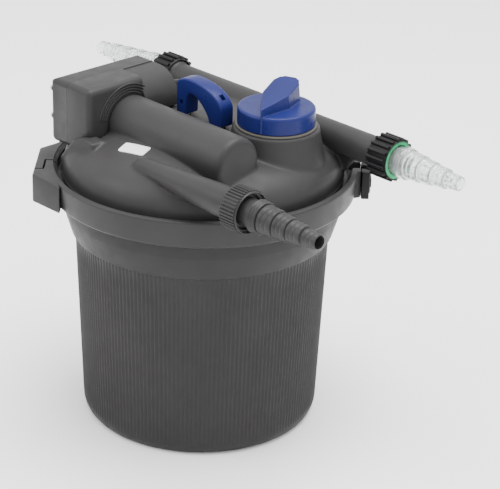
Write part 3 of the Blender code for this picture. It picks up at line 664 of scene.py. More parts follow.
def rib_rig(count: int, reach: float, thick: float, long: float, centre: Spot,
            material: bpy.types.Material) -> NodeRig:
    """A tree that sets round-backed grip ribs round a nut whose axis runs along X.

    Args:
        count: Ribs round the nut.
        reach: Radius of the ribs' middles.
        thick: Radius of a rib.
        long: Length of a rib.
        centre: Middle of the ribs.
        material: The nut's material.

    Returns:
        The tree, ready to use.
    """
    rig = NodeRig("grip_ribs", {"Count": count, "Reach": reach, "Thick": thick,
                                "Long": long})
    ring = rig.add("GeometryNodeMeshCircle")
    rig.link(rig.size("Count"), ring.inputs["Vertices"])
    rig.link(rig.size("Reach"), ring.inputs["Radius"])
    rib = rig.add("GeometryNodeMeshCylinder", Vertices=10)
    rig.link(rig.size("Thick"), rib.inputs["Radius"])
    rig.link(rig.size("Long"), rib.inputs["Depth"])
    spread = rig.add("GeometryNodeInstanceOnPoints")
    rig.link(ring.outputs["Mesh"], spread.inputs["Points"])
    rig.link(rib.outputs["Mesh"], spread.inputs["Instance"])
    rig.close(rig.lay(spread.outputs[0], (0, math.pi / 2, 0), centre), material)
    return rig


def arc_rig(count: int, first: float, step: float, thick: float, centre: Spot,
            material: bpy.types.Material) -> NodeRig:
    """A tree that sets nested arc ribs on a face that looks to the right.

    Args:
        count: Ribs.
        first: Radius of the smallest.
        step: How much each is larger than the one inside it.
        thick: Radius of a rib's section.
        centre: Middle of the arcs, on the face.
        material: The face's material.

    Returns:
        The tree, ready to use.
    """
    rig = NodeRig("arc_ribs", {"Count": count, "First": first, "Step": step,
                               "Thick": thick})
    line = rig.add("GeometryNodeMeshLine")
    rig.link(rig.size("Count"), line.inputs["Count"])
    line.inputs["Offset"].default_value = (0, 0, 0)
    arc = rig.add("GeometryNodeCurveArc", Resolution=40, Radius=1.0,
                  Start_Angle=math.radians(55), Sweep_Angle=math.radians(112))
    place = rig.add("GeometryNodeInputIndex")
    size = rig.math("ADD", rig.size("First"),
                    rig.math("MULTIPLY", place.outputs[0], rig.size("Step")))
    scale = rig.add("ShaderNodeCombineXYZ", Z=1.0)
    rig.link(size, scale.inputs["X"])
    rig.link(size, scale.inputs["Y"])
    spread = rig.add("GeometryNodeInstanceOnPoints")
    rig.link(line.outputs[0], spread.inputs["Points"])
    rig.link(arc.outputs["Curve"], spread.inputs["Instance"])
    rig.link(scale.outputs[0], spread.inputs["Scale"])
    real = rig.add("GeometryNodeRealizeInstances")
    rig.link(spread.outputs[0], real.inputs[0])
    section = rig.add("GeometryNodeCurvePrimitiveCircle", Resolution=10)
    rig.link(rig.size("Thick"), section.inputs["Radius"])
    sweep = rig.add("GeometryNodeCurveToMesh")
    sweep.inputs["Fill Caps"].default_value = True
    rig.link(real.outputs[0], sweep.inputs["Curve"])
    rig.link(section.outputs[0], sweep.inputs["Profile Curve"])
    rig.close(rig.lay(sweep.outputs[0], (math.pi / 2, 0, math.pi / 2), centre), material)
    return rig


# ---- sub-assemblies ----

class Assembly:
    """A group of pieces that are built, dressed and set on their bodies together."""

    def __init__(self, book: FinishBook) -> None:
        """Keep the finishes at hand."""
        self.book = book

    def hand_over(self, piece: bpy.types.Object, finish: Finish, body: str, slot: str,
                  *nodes: str) -> None:
        """Dress a finished piece and set it on its body.

        Args:
            piece: The piece, at the origin.
            finish: Its finish.
            body: The CAD body that it rides on.
            slot: Not used.
            nodes: The CAD nodes that it stands for.
        """
        piece.data.materials.clear()
        piece.data.materials.append(self.book.get(finish))
        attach(piece, body)
        if nodes:
            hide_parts(*nodes)
        log.info("%s: %d faces on %s", piece.name, len(piece.data.polygons), body)


@dataclass(frozen=True)
class CanisterSizes:
    """Sizes of the canister."""

    foot_r: float = 0.128
    heel_r: float = 0.139
    heel_z: float = 0.018
    wall_r: float = 0.147
    wall_z: float = 0.228
    band_r: float = 0.152
    neck_r: float = 0.1595
    neck_z: float = 0.259
    flange_r: float = 0.172
    flange_z: float = 0.281
    rim_z: float = 0.2885
    wall: float = 0.0035
    flutes: int = 180
    flute_depth: float = 0.0011
    flute_steps: int = 6
    flute_fade: float = 0.004
    flute_inside: float = 0.137


class Canister(Assembly):
    """The fluted canister with its smooth band and flange."""

    sizes = CanisterSizes()

    def build(self) -> None:
        """Build and dress the canister."""
        s = self.sizes
        outer: list[Point] = [(0, 0.0012), (s.foot_r - 0.006, 0.0012),
                              (s.foot_r - 0.004, 0.0), (s.foot_r - 0.0005, 0.0)]
        for k in range(1, 7):
            turn = math.pi / 2 * k / 6
            outer.append((s.foot_r + (s.heel_r - s.foot_r) * math.sin(turn),
                          s.heel_z * (1 - math.cos(turn))))
        rows = 16
        outer += [(s.heel_r + (s.wall_r - s.heel_r) * k / rows,
                   s.heel_z + (s.wall_z - s.heel_z) * k / rows) for k in range(1, rows + 1)]
        outer += [(s.wall_r + 0.0022, s.wall_z + 0.0006), (s.band_r - 0.0008, s.wall_z + 0.002),
                  (s.band_r, s.wall_z + 0.0042), (s.neck_r - 0.0006, s.neck_z - 0.004),
                  (s.neck_r, s.neck_z), (s.neck_r, s.flange_z - 0.004),
                  (s.neck_r + 0.004, s.flange_z), (s.flange_r - 0.001, s.flange_z),
                  (s.flange_r, s.flange_z + 0.001), (s.flange_r, s.rim_z - 0.0005),
                  (s.flange_r - 0.0005, s.rim_z)]
        mouth = s.neck_r - s.wall
        inner: list[Point] = [(mouth, s.rim_z), (mouth, s.neck_z + 0.003),
                              (mouth - 0.0055, s.neck_z + 0.003),
                              (s.band_r - s.wall, s.wall_z + 0.006),
                              (s.wall_r - s.wall, s.wall_z), (s.heel_r - s.wall, s.heel_z),
                              (s.foot_r - 0.002, 0.0048), (0, 0.0048)]
        piece = lathe("canister_shell", outer + inner, s.flutes * s.flute_steps)
        finish = self.book.get(CANISTER_GREY)
        flute_rig(s.flutes, s.flute_depth, s.heel_z - s.flute_fade, s.wall_z + 0.0005,
                  s.flute_fade, s.flute_inside, finish).use(piece)
        self.hand_over(piece, CANISTER_GREY, "root", "charcoal_plastic", "canister")


@dataclass(frozen=True)
class LidSizes:
    """Sizes of the lid, its tunnel, pipes and neck."""

    low: float = 0.2915
    rim_z: float = 0.299
    flange_r: float = 0.172
    dome_r: float = 0.1605
    dome_h: float = 0.0595
    dome_p: float = 2.2
    dome_q: float = 2.94
    wall: float = 0.004
    neck: Spot = (0.087, 0.028, 0.371)
    neck_r: float = 0.049
    neck_foot_r: float = 0.068
    ring_r: float = 0.0456
    tunnel: Spot = (0.120, -0.060, 0.355)
    tunnel_start: float = -0.0616
    tunnel_r: float = 0.031
    tunnel_bore: float = 0.027
    front_pipe: Spot = (0.020, -0.119, 0.343)
    front_nose_r: float = 0.0105
    front_full: float = 0.150
    front_end: float = 0.184
    rear_pipe: Spot = (-0.163, 0.100, 0.346)
    rear_end: float = 0.190
    pipe_r: float = 0.0172
    pipe_bore: float = 0.013
    thread_r: float = 0.0198
    thread_long: float = 0.010
    head_low: Spot = (-0.131, -0.117, 0.325)
    head_high: Spot = (-0.0613, 0.012, 0.402)
    head_gap: float = 0.0008
    groove: Point = (0.1612, 0.1662)
    rods: Point = (-0.028, 0.029)
    rod_hole: float = 0.0046
    rod_span: Point = (0.34, 0.37)
    shaft_hole: float = 0.0086
    shaft_span: Point = (0.36, 0.38)
    seat: tuple[Point, ...] = ((-0.104, 0.29), (-0.101, 0.318), (-0.078, 0.345),
                               (-0.062, 0.350), (-0.045, 0.347), (-0.030, 0.29))
    seat_y: Point = (-0.1275, -0.108)
    melt_voxel: float = 0.0014
    melt_passes: int = 20
    melt_voxel_quick: float = 0.0030
    melt_passes_quick: int = 5
    plate_half: Point = (0.017, 0.0085)
    plate_centre: Point = (-0.001, -0.104)
    plate_turn: float = math.radians(13)
    plate_thick: float = 0.0009
    plate_steps: tuple[int, int] = (26, 14)
    bore_start: float = 0.11
    groove_z: Point = (-0.0034, 0.0012)
    web_half: float = 0.0055
    web_start: float = 0.090
    web_long: float = 0.034


class Lid(Assembly):
    """The domed lid, moulded in one with its tunnel, pipes, webs and valve neck."""

    sizes = LidSizes()

    def dome_z(self, radius: float, grow: float = 0.0) -> float:
        """The dome's height at a distance from its middle, moved out by grow."""
        s = self.sizes
        share = min(1.0, radius / (s.dome_r + grow)) ** s.dome_p
        return s.rim_z + (s.dome_h + grow) * (1 - share) ** (1 / s.dome_q)

    def dome(self, name: str, grow: float, low: float, rows: int, steps: int
             ) -> bpy.types.Object:
        """A filled dome on a straight foot."""
        top = self.sizes.dome_r + grow
        radii = [top * math.sin(math.pi / 2 * k / rows) for k in range(rows + 1)]
        outline = [(r, self.dome_z(r, grow)) for r in radii]
        return lathe(name, [(0, low), (top, low), *outline[:0:-1], (0, outline[0][1])],
                     steps)

    def pipe(self, name: str, start: float, stop: float, radius: float, place: Spot,
             steps: int = 64, tip: float = 0.0) -> bpy.types.Object:
        """A filled pipe along X, whose right end may be rounded by tip."""
        outline = [(0, start), (radius, start), (radius, stop), (0, stop)]
        if tip:
            turn = [math.pi / 2 * k / 5 for k in range(6)]
            outline[2:3] = [(radius - tip * (1 - math.cos(t)), stop - tip * (1 - math.sin(t)))
                            for t in turn]
        return lathe(name, outline, steps, place, Axis.RIGHT)

    def tubes(self, grow: float, steps: int) -> list[bpy.types.Object]:
        """The tunnel, both pipes and the webs under the rear pipe, filled."""
        s = self.sizes
        end, y, z = s.tunnel
        pieces = [self.pipe("tunnel_body", s.tunnel_start, end + grow, s.tunnel_r + grow,
                            (0, y, z), steps, 0.007)]
        front = (0, *s.front_pipe[1:])
        rear = (0, *s.rear_pipe[1:])
        start, nose = s.front_pipe[0], s.front_nose_r
        ridge = [(0, start)] + [(nose * math.sin(t) + grow, start + nose * (1 - math.cos(t)))
                                for t in (math.pi / 2 * k / 6 for k in range(1, 7))]
        ridge += [(s.pipe_r + grow, s.front_full),
                  (s.pipe_r + grow, s.front_end - s.thread_long),
                  (0, s.front_end - s.thread_long)]
        pieces.append(lathe("front_body", ridge, steps, front, Axis.RIGHT))
        pieces.append(self.pipe("front_thread", s.front_end - s.thread_long - 0.002,
                                s.front_end, s.thread_r, front, steps))
        left, right = s.rear_pipe[0], s.rear_end
        pieces.append(self.pipe("rear_body", left + s.thread_long, right - s.thread_long,
                                s.pipe_r + grow, rear, steps))
        pieces.append(self.pipe("right_thread", right - s.thread_long - 0.002, right,
                                s.thread_r, rear, steps))
        pieces.append(self.pipe("left_thread", left, left + s.thread_long + 0.002,
                                s.thread_r, rear, steps))
        y = s.rear_pipe[1]
        foot = math.sqrt((s.dome_r - 0.004) ** 2 - (y + 0.006) ** 2)
        for side in (1, -1):
            near, far = s.web_start * side, (foot + s.web_long) * side
            web = [(near, s.rim_z - 0.003), (foot * side, s.rim_z - 0.003),
                   (far, s.rear_pipe[2] - 0.012), (far, s.rear_pipe[2]),
                   (near, s.rear_pipe[2])]
            pieces.append(prism(f"web_{side}", web, y - s.web_half, y + s.web_half, "Y"))
        return pieces

    def pocket(self, name: str, grow: float) -> bpy.types.Object:
        """The space that the head slides into, open to the left and above."""
        s = self.sizes
        side = s.head_gap + grow
        return box(name, (s.head_low[0] - 0.08, s.head_low[1] - side, s.head_low[2] - side),
                   (s.tunnel_start + 0.0003 + grow, s.head_high[1] + side,
                    s.head_high[2] + 0.05))

    def neck_cone(self, name: str, grow: float, low: float, high: float,
                  steps: int) -> bpy.types.Object:
        """The filled cone under the knob."""
        s = self.sizes
        span = s.neck_foot_r - s.neck_r
        outline = [(0, low), (s.neck_foot_r + grow, low)]
        outline += [(s.neck_r + grow + span * (1 - k / 8) ** 1.35, low + (high - low) * k / 8)
                    for k in range(1, 9)]
        outline.append((0, high))
        return lathe(name, outline, steps, (*s.neck[:2], 0))

    def build(self) -> None:
        """Build and dress the lid, its neck ring and its blank plate."""
        s = self.sizes
        lid = self.dome("lid_shell", 0.0, s.low, 28, 160)
        flange = lathe("lid_flange", soften([(0, s.low), (s.flange_r, s.low),
                                             (s.flange_r, s.rim_z), (0, s.rim_z)], 0.001),
                       160)
        neck = self.neck_cone("neck", 0.0, s.low + 0.003, s.neck[2], 96)
        seat = prism("head_seat", list(s.seat), *s.seat_y, "Y")
        combine(lid, Cut.JOIN, flange, neck, seat, *self.tubes(0.0, 64))
        combine(lid, Cut.REMOVE, self.pocket("head_space", 0.0))
        melt(lid, s.melt_voxel, s.melt_passes)
        hollow = self.dome("hollow", -s.wall, s.low - 0.003, 10, 48)
        combine(hollow, Cut.REMOVE, self.pocket("pocket_wall", s.wall),
                *self.tubes(0.0003, 24))
        inside = self.neck_cone("neck_hollow", -s.wall - 0.0015, s.low + 0.006,
                                s.neck[2] - s.wall - 0.001, 32)
        bores = [hollow, inside,
                 self.pipe("tunnel_bore", s.tunnel_start - 0.004, s.tunnel[0] - s.wall,
                           s.tunnel_bore, (0, *s.tunnel[1:]), 48),
                 self.pipe("front_bore", s.bore_start, s.front_end + 0.01,
                           s.pipe_bore, (0, *s.front_pipe[1:]), 32),
                 lathe("foot_groove", [(s.groove[0], s.rim_z + s.groove_z[0]),
                                       (s.groove[1], s.rim_z + s.groove_z[0]),
                                       (s.groove[1], s.rim_z + s.groove_z[1]),
                                       (s.groove[0], s.rim_z + s.groove_z[1])], 160),
                 self.pipe("rear_bore", s.rear_pipe[0] - 0.01, s.rear_end + 0.01,
                           s.pipe_bore, (0, *s.rear_pipe[1:]), 32),
                 rod("shaft_bore", s.shaft_hole, *s.shaft_span, 24, (*s.neck[:2], 0))]
        for x in s.rods:
            bores.append(rod("rod_bore", s.rod_hole, *s.rod_span, 20, (x, 0, 0)))
        for bore in bores:
            combine(lid, Cut.REMOVE, bore)
        shade(lid, 50)
        self.hand_over(lid, CHARCOAL, "root", "charcoal_plastic", "lid")
        x, y, z = s.neck
        ring = lathe("neck_ring", soften([(0.030, z + 0.0003), (s.ring_r, z + 0.0003),
                                          (s.ring_r, z + 0.0026),
                                          (0.030, z + 0.0026)], 0.0006), 96, (x, y, 0))
        self.hand_over(ring, RING_GREY, "root", "charcoal_plastic")
        self.build_plate()

    def build_plate(self) -> None:
        """The blank plate that lies on the dome beside the tunnel."""
        s = self.sizes
        bm = bmesh.new()
        across, down = s.plate_half
        columns, rows = s.plate_steps
        turn = s.plate_turn
        grid = []
        for level in (0.0001, s.plate_thick):
            sheet = []
            for j in range(rows + 1):
                for i in range(columns + 1):
                    u = -1 + 2 * i / columns
                    v = -1 + 2 * j / rows
                    squeeze = 1 - 0.05 * max(0.0, abs(u) + abs(v) - 1.75) / 0.25
                    a, b = across * u * squeeze, down * v * squeeze
                    x = s.plate_centre[0] + a * math.cos(turn) - b * math.sin(turn)
                    y = s.plate_centre[1] + a * math.sin(turn) + b * math.cos(turn)
                    z = self.dome_z(math.hypot(x, y)) + level
                    sheet.append(bm.verts.new((x, y, z)))
            grid.append(sheet)
        wide = columns + 1
        for j in range(rows):
            for i in range(columns):
                k = j * wide + i
                bm.faces.new((grid[1][k], grid[1][k + 1], grid[1][k + 1 + wide],
                              grid[1][k + wide]))
                bm.faces.new((grid[0][k], grid[0][k + wide], grid[0][k + 1 + wide],
                              grid[0][k + 1]))
        rim = ([i for i in range(wide)] + [wide * j + columns for j in range(1, rows + 1)]
               + [wide * rows + i for i in range(columns - 1, -1, -1)]
               + [wide * j for j in range(rows - 1, 0, -1)])
        for a, b in zip(rim, rim[1:] + rim[:1]):
            bm.faces.new((grid[0][a], grid[0][b], grid[1][b], grid[1][a]))
        bmesh.ops.recalc_face_normals(bm, faces=bm.faces)
        plate = add_object("dome_plate", bm)
        self.hand_over(plate, PLATE, "root", "plate_white", "blank_plate")


@dataclass(frozen=True)
class ClampSizes:
    """Sizes of the clamp ring."""

    low: float = 0.2755
    top: float = 0.3085
    radius: float = 0.1772
    flare: float = 0.0026
    wall: float = 0.0046
    top_lip_r: float = 0.167
    low_lip_r: float = 0.1635
    flange_low: float = 0.2807
    flange_top: float = 0.2993
    ear_reach: float = 0.190
    ear_rear: float = -0.027
    ear_front: float = 0.055
    ear_foot: float = 0.034
    lap_reach: float = 0.1795
    lap_inner: float = 0.009
    lap_outer: float = 0.036
    lap_gap: float = 0.0011
    hinge_reach: float = 0.1865
    hinge_r: float = 0.006
    pin_r: float = 0.0033
    hinge_clear: float = 0.009
    hinge_middle: float = 0.0105
    pad_reach: float = 0.1805
    pad_long: float = 0.018
    strap: float = 0.0095
    strap_sides: Point = (0.0005, 0.013)


class ClampRing(Assembly):
    """The two halves of the clamp ring, with the Z joint in the ear and the hinge."""

    sizes = ClampSizes()

    @staticmethod
    def ear_point(out: float, side: float) -> Point:
        """A point by its distance out from the axis and sideways, at the ear."""
        turn = math.radians(225)
        return (out * math.cos(turn) - side * math.sin(turn),
                out * math.sin(turn) + side * math.cos(turn))

    @staticmethod
    def hinge_point(out: float, side: float) -> Point:
        """A point by its distance out from the axis and sideways, at the hinge."""
        turn = math.radians(45)
        return (out * math.cos(turn) - side * math.sin(turn),
                out * math.sin(turn) + side * math.cos(turn))

    def blank(self, name: str) -> bpy.types.Object:
        """The whole ring with its ear, before it is split."""
        s = self.sizes
        foot = s.radius - s.flare
        outline = [(0, s.low), (foot - 0.0045, s.low), (foot, s.low + 0.0035),
                   (s.radius, s.top - 0.002), (s.radius - 0.001, s.top), (0, s.top)]
        ring = lathe(name, soften(outline, 0.0016, 3), 240)
        ear = [self.ear_point(u, t) for u, t in
               ((s.ear_reach, s.ear_rear), (s.ear_reach, s.ear_front),
                (s.ear_reach - s.ear_foot, s.ear_front + s.ear_foot),
                (s.ear_reach - s.ear_foot, s.ear_rear - s.ear_foot))]
        block = prism("ear", ear, s.low, s.top)
        soften_edges(block, 0.0022, 4)
        pad = prism("hinge_pad", [self.hinge_point(u, t) for u, t in
                                  ((s.pad_reach, -s.pad_long), (s.pad_reach, s.pad_long),
                                   (s.pad_reach - 0.03, s.pad_long + 0.012),
                                   (s.pad_reach - 0.03, -s.pad_long - 0.012))],
                    s.low, s.top)
        soften_edges(pad, 0.0018, 3)
        combine(ring, Cut.JOIN, block, pad)
        groove = s.flange_top + 0.0035
        hollow = [(0, s.low - 0.01), (s.low_lip_r, s.low - 0.01), (s.low_lip_r, s.flange_low),
                  (s.radius - s.wall, s.flange_low), (s.radius - s.wall, s.flange_top),
                  (s.top_lip_r, s.flange_top), (s.top_lip_r, groove + 0.001),
                  (s.top_lip_r + 0.0012, groove + 0.0022),
                  (s.top_lip_r + 0.0038, s.top - 0.0012),
                  (s.top_lip_r + 0.0050, s.top + 0.01), (0, s.top + 0.01)]
        return combine(ring, Cut.REMOVE, lathe("ring_hollow", hollow, 240))

    def knuckle(self, name: str, low: float, high: float, side: int) -> bpy.types.Object:
        """A knuckle with an arm towards one half."""
        s = self.sizes
        steps = 16
        outline = [(s.hinge_reach + s.hinge_r * math.cos(a),
                    side * s.hinge_r * math.sin(a))
                   for a in (-math.pi + math.pi * i / steps for i in range(steps + 1))]
        arm = s.hinge_clear + 0.004
        outline += [(s.hinge_reach + s.hinge_r, side * arm),
                    (s.hinge_reach - s.hinge_r, side * arm)]
        return prism(name, [self.hinge_point(*p) for p in outline], low, high)

    def build(self) -> None:
        """Build and dress both halves."""
        s = self.sizes
        far, wide, gap = 0.230, 0.320, s.lap_gap
        behind = [(far, s.lap_outer + gap), (s.lap_reach - gap, s.lap_outer + gap),
                  (s.lap_reach - gap, s.lap_inner + gap), (0.1, s.lap_inner + gap),
                  (-0.1, s.hinge_clear), (-far, s.hinge_clear), (-far, -wide), (far, -wide)]
        before = [(far, s.lap_outer - gap), (s.lap_reach + gap, s.lap_outer - gap),
                  (s.lap_reach + gap, s.lap_inner - gap), (0.1, s.lap_inner - gap),
                  (-0.1, -s.hinge_clear), (-far, -s.hinge_clear), (-far, wide), (far, wide)]
        middle = (s.low + s.top) / 2
        half = s.hinge_middle / 2
        for name, removed, node, body in (
                ("clamp_front_half", behind, "clamp_ring_front", "clamp_front"),
                ("clamp_rear_half", before, "clamp_ring_rear", "root")):
            ring = self.blank(name)
            cutter = prism("other_half", [self.ear_point(*p) for p in removed],
                           s.low - 0.02, s.top + 0.02)
            combine(ring, Cut.REMOVE, cutter)
            if body != "root":
                combine(ring, Cut.JOIN, self.knuckle("front_knuckle", middle - half,
                                                     middle + half, -1))
            pin = rod("pin_hole", s.pin_r, s.low - 0.01, s.top + 0.01, 32,
                      (*self.hinge_point(s.hinge_reach, 0), 0))
            combine(ring, Cut.REMOVE, pin)
            self.hand_over(ring, CHARCOAL, body, "charcoal_plastic", node)
        # The strap is black, darker than the charcoal ring round it: painted shade for the hinge
        # block, which lies in shadow.
        near, far = s.pad_reach + 0.0003, s.pad_reach + s.strap
        first, last = (-s.hinge_clear - side for side in s.strap_sides)
        strap = prism("hinge_shade_strap", [self.hinge_point(u, t) for u, t in
                                      ((near, first), (far, first), (far, last),
                                       (near, last))], s.low, s.top)
        soften_edges(strap, 0.001, 3)
        self.hand_over(strap, BLACK, "clamp_front", "black_plastic")


@dataclass(frozen=True)
class KnobSizes:
    """Sizes of the rotary knob."""

    centre: Point = (0.087, 0.028)
    radius: float = 0.0437
    low: float = 0.374
    skirt: float = 0.020
    tip_h: float = 0.009
    end_h: float = 0.022
    wing_half: float = 0.0175
    prow: float = 0.0016
    wing_full: float = 0.004
    wing_bow: float = 0.9
    wing_end: tuple[Point, ...] = ((-0.012, 0.0), (-0.026, 0.0), (-0.034, 0.004),
                                   (-0.0378, 0.010))
    wing_low: float = 0.0006
    wing_top: float = 0.88
    rim_round: float = 0.003
    far: float = 0.038
    angle: float = math.radians(-68)
    socket: float = 0.0083
    socket_z: float = 0.3843


class Knob(Assembly):
    """The rotary knob with its wedge wing."""

    sizes = KnobSizes()

    def wing(self) -> bpy.types.Object:
        """The wedge: a knife edge at the skirt that widens and rises to the far end."""
        s = self.sizes
        plan: list[Point] = [(s.radius + s.prow, 0)]
        side: list[Point] = []
        for k in range(1, 13):
            t = k / 12
            side.append((s.radius - (s.radius - s.wing_full) * t,
                         s.wing_half * t ** s.wing_bow))
        side += [(out, s.wing_half - narrower) for out, narrower in s.wing_end]
        plan += side + [(p, -q) for p, q in side[::-1]]
        slope = (s.end_h - s.tip_h) / (s.far + s.radius)
        turn = Matrix.Rotation(s.angle, 3, "Z")
        bm = bmesh.new()
        rings = []
        levels = ((s.wing_low, 1.0), (s.skirt, 1.0), (None, s.wing_top))
        for rise, narrow in levels:
            ring = []
            for p, q in plan:
                flat = turn @ Vector((p, q * narrow, 0))
                lift = s.skirt + s.tip_h + slope * (s.radius - p) if rise is None else rise
                ring.append(bm.verts.new((s.centre[0] + flat.x, s.centre[1] + flat.y,
                                          s.low + lift)))
            rings.append(ring)
        bm.faces.new(rings[0])
        bm.faces.new(rings[-1][::-1])
        for low, high in zip(rings, rings[1:]):
            for i in range(len(plan)):
                j = (i + 1) % len(plan)
                bm.faces.new((low[i], low[j], high[j], high[i]))
        bmesh.ops.recalc_face_normals(bm, faces=bm.faces)
        return add_object("knob_wing", bm)

    def build(self) -> None:
        """Build and dress the knob."""
        s = self.sizes
        top = s.low + s.skirt
        outline = [(0, s.low), (s.radius, s.low), (s.radius, top), (0, top)]
        outline[2:3] = [(s.radius - s.rim_round * (1 - math.cos(t)),
                         top - s.rim_round * (1 - math.sin(t)))
                        for t in (math.pi / 2 * k / 4 for k in range(5))]
        knob = lathe("valve_knob", outline, 128, (*s.centre, 0))
        combine(knob, Cut.JOIN, self.wing())
        melt(knob, 0.0007, 3)
        socket = rod("socket", s.socket, s.low - 0.01, s.socket_z, 32, (*s.centre, 0))
        combine(knob, Cut.REMOVE, socket)
        shade(knob, 45)
        self.hand_over(knob, BLUE, "knob_unit", "blue_plastic", "rotary_knob")


@dataclass(frozen=True)
class HandleSizes:
    """Sizes of the cleaning handle."""

    left: float = -0.036
    right: float = 0.0375
    low: float = 0.361
    top: float = 0.405
    half: float = 0.010
    foot: float = 0.016
    crown_at: float = 0.30
    left_shoulder: float = 0.78
    right_shoulder: float = 0.45
    opening: tuple[Point, ...] = ((0.016, 0.008), (0.016, 0.033), (0.025, 0.033),
                                  (0.041, 0.023), (0.0530, 0.010), (0.0540, 0.0))
    slot: Point = (0.0115, 0.0055)
    slot_half: float = 0.003
    pin_r: float = 0.0028
    pin_deep: float = 0.006
    pin_in: float = 0.0085
    pin_up: float = 0.014


class Handle(Assembly):
    """The arched cleaning handle."""

    sizes = HandleSizes()

    def build(self) -> None:
        """Build and dress the handle."""
        s = self.sizes
        middle = s.left + s.crown_at * (s.right - s.left)
        crown = s.top - s.low
        arch = []
        for i in range(33):
            turn = math.pi * i / 32
            leftward = turn > math.pi / 2
            reach = (middle - s.left) if leftward else (s.right - middle)
            shoulder = s.left_shoulder if leftward else s.right_shoulder
            height = crown * (shoulder + (1 - shoulder) * math.sin(turn))
            arch.append((middle + reach * math.cos(turn), s.low + height))
        left = s.left
        corners = [Vector((left + ahead, s.low + up)) for ahead, up in s.opening]
        under = []
        for i in range(1, 17):
            t = i / 16
            spots = corners[:]
            while len(spots) > 1:
                spots = [a.lerp(b, t) for a, b in zip(spots, spots[1:])]
            if t < 1:
                under.append(tuple(spots[0]))
        outline = [(s.right, s.low), *arch, (left, s.low), (left + s.foot, s.low),
                   *under, tuple(corners[-1])]
        handle = prism("pull_handle", outline, -s.half, s.half, "Y")
        soften_edges(handle, 0.0022, 4, 50)
        slot = box("slot", (s.right - s.slot[0], -s.slot_half, s.low - 0.01),
                   (s.right - s.slot[1], s.slot_half, s.top))
        pin = rod("pin_hole", s.pin_r, -0.03, s.pin_deep - s.half, 24,
                  (left + s.pin_in, 0, s.low + s.pin_up), Axis.BACK)
        combine(handle, Cut.REMOVE, slot, pin)
        self.hand_over(handle, BLUE, "squeeze_unit", "blue_plastic", "cleaning_handle")


class Side(Enum):
    """The three pipe ends: name, end, centre, direction."""

    FRONT = ("front", 0.184, (-0.119, 0.343), Axis.RIGHT)
    RIGHT = ("right", 0.190, (0.100, 0.346), Axis.RIGHT)
    LEFT = ("left", -0.163, (0.100, 0.346), Axis.LEFT)


@dataclass(frozen=True)
class UnionSizes:
    """Sizes of one union: nut and stepped hose adapter."""

    nut_r: float
    nut_low: float
    nut_high: float
    ribs: int
    rib_r: float
    long: float
    mouth_r: float = 0.0222
    lip_gap: float = 0.0004
    lip: float = 0.0035
    ring_gap: float = 0.0003
    ring_long: float = 0.0057
    thread_r: float = 0.0204
    collar: float = 0.0026
    flange: float = 0.004
    neck_r: float = 0.0158
    neck_long: float = 0.0165
    barbs: int = 3
    hose_r: tuple[float, ...] = (0.019, 0.0165, 0.0145, 0.0125, 0.0095)
    hose_wall: tuple[float, ...] = (0.0035, 0.003, 0.003, 0.003, 0.002)
    shares: tuple[float, ...] = (0.28, 0.47, 0.64, 0.82, 1.0)


FRONT_UNION = UnionSizes(0.0248, -0.0105, 0.015, 40, 0.0011, 0.1125)
RIGHT_UNION = UnionSizes(0.0253, -0.012, 0.017, 18, 0.0022, 0.106)
LEFT_UNION = UnionSizes(0.0253, -0.012, 0.017, 18, 0.0022, 0.135)


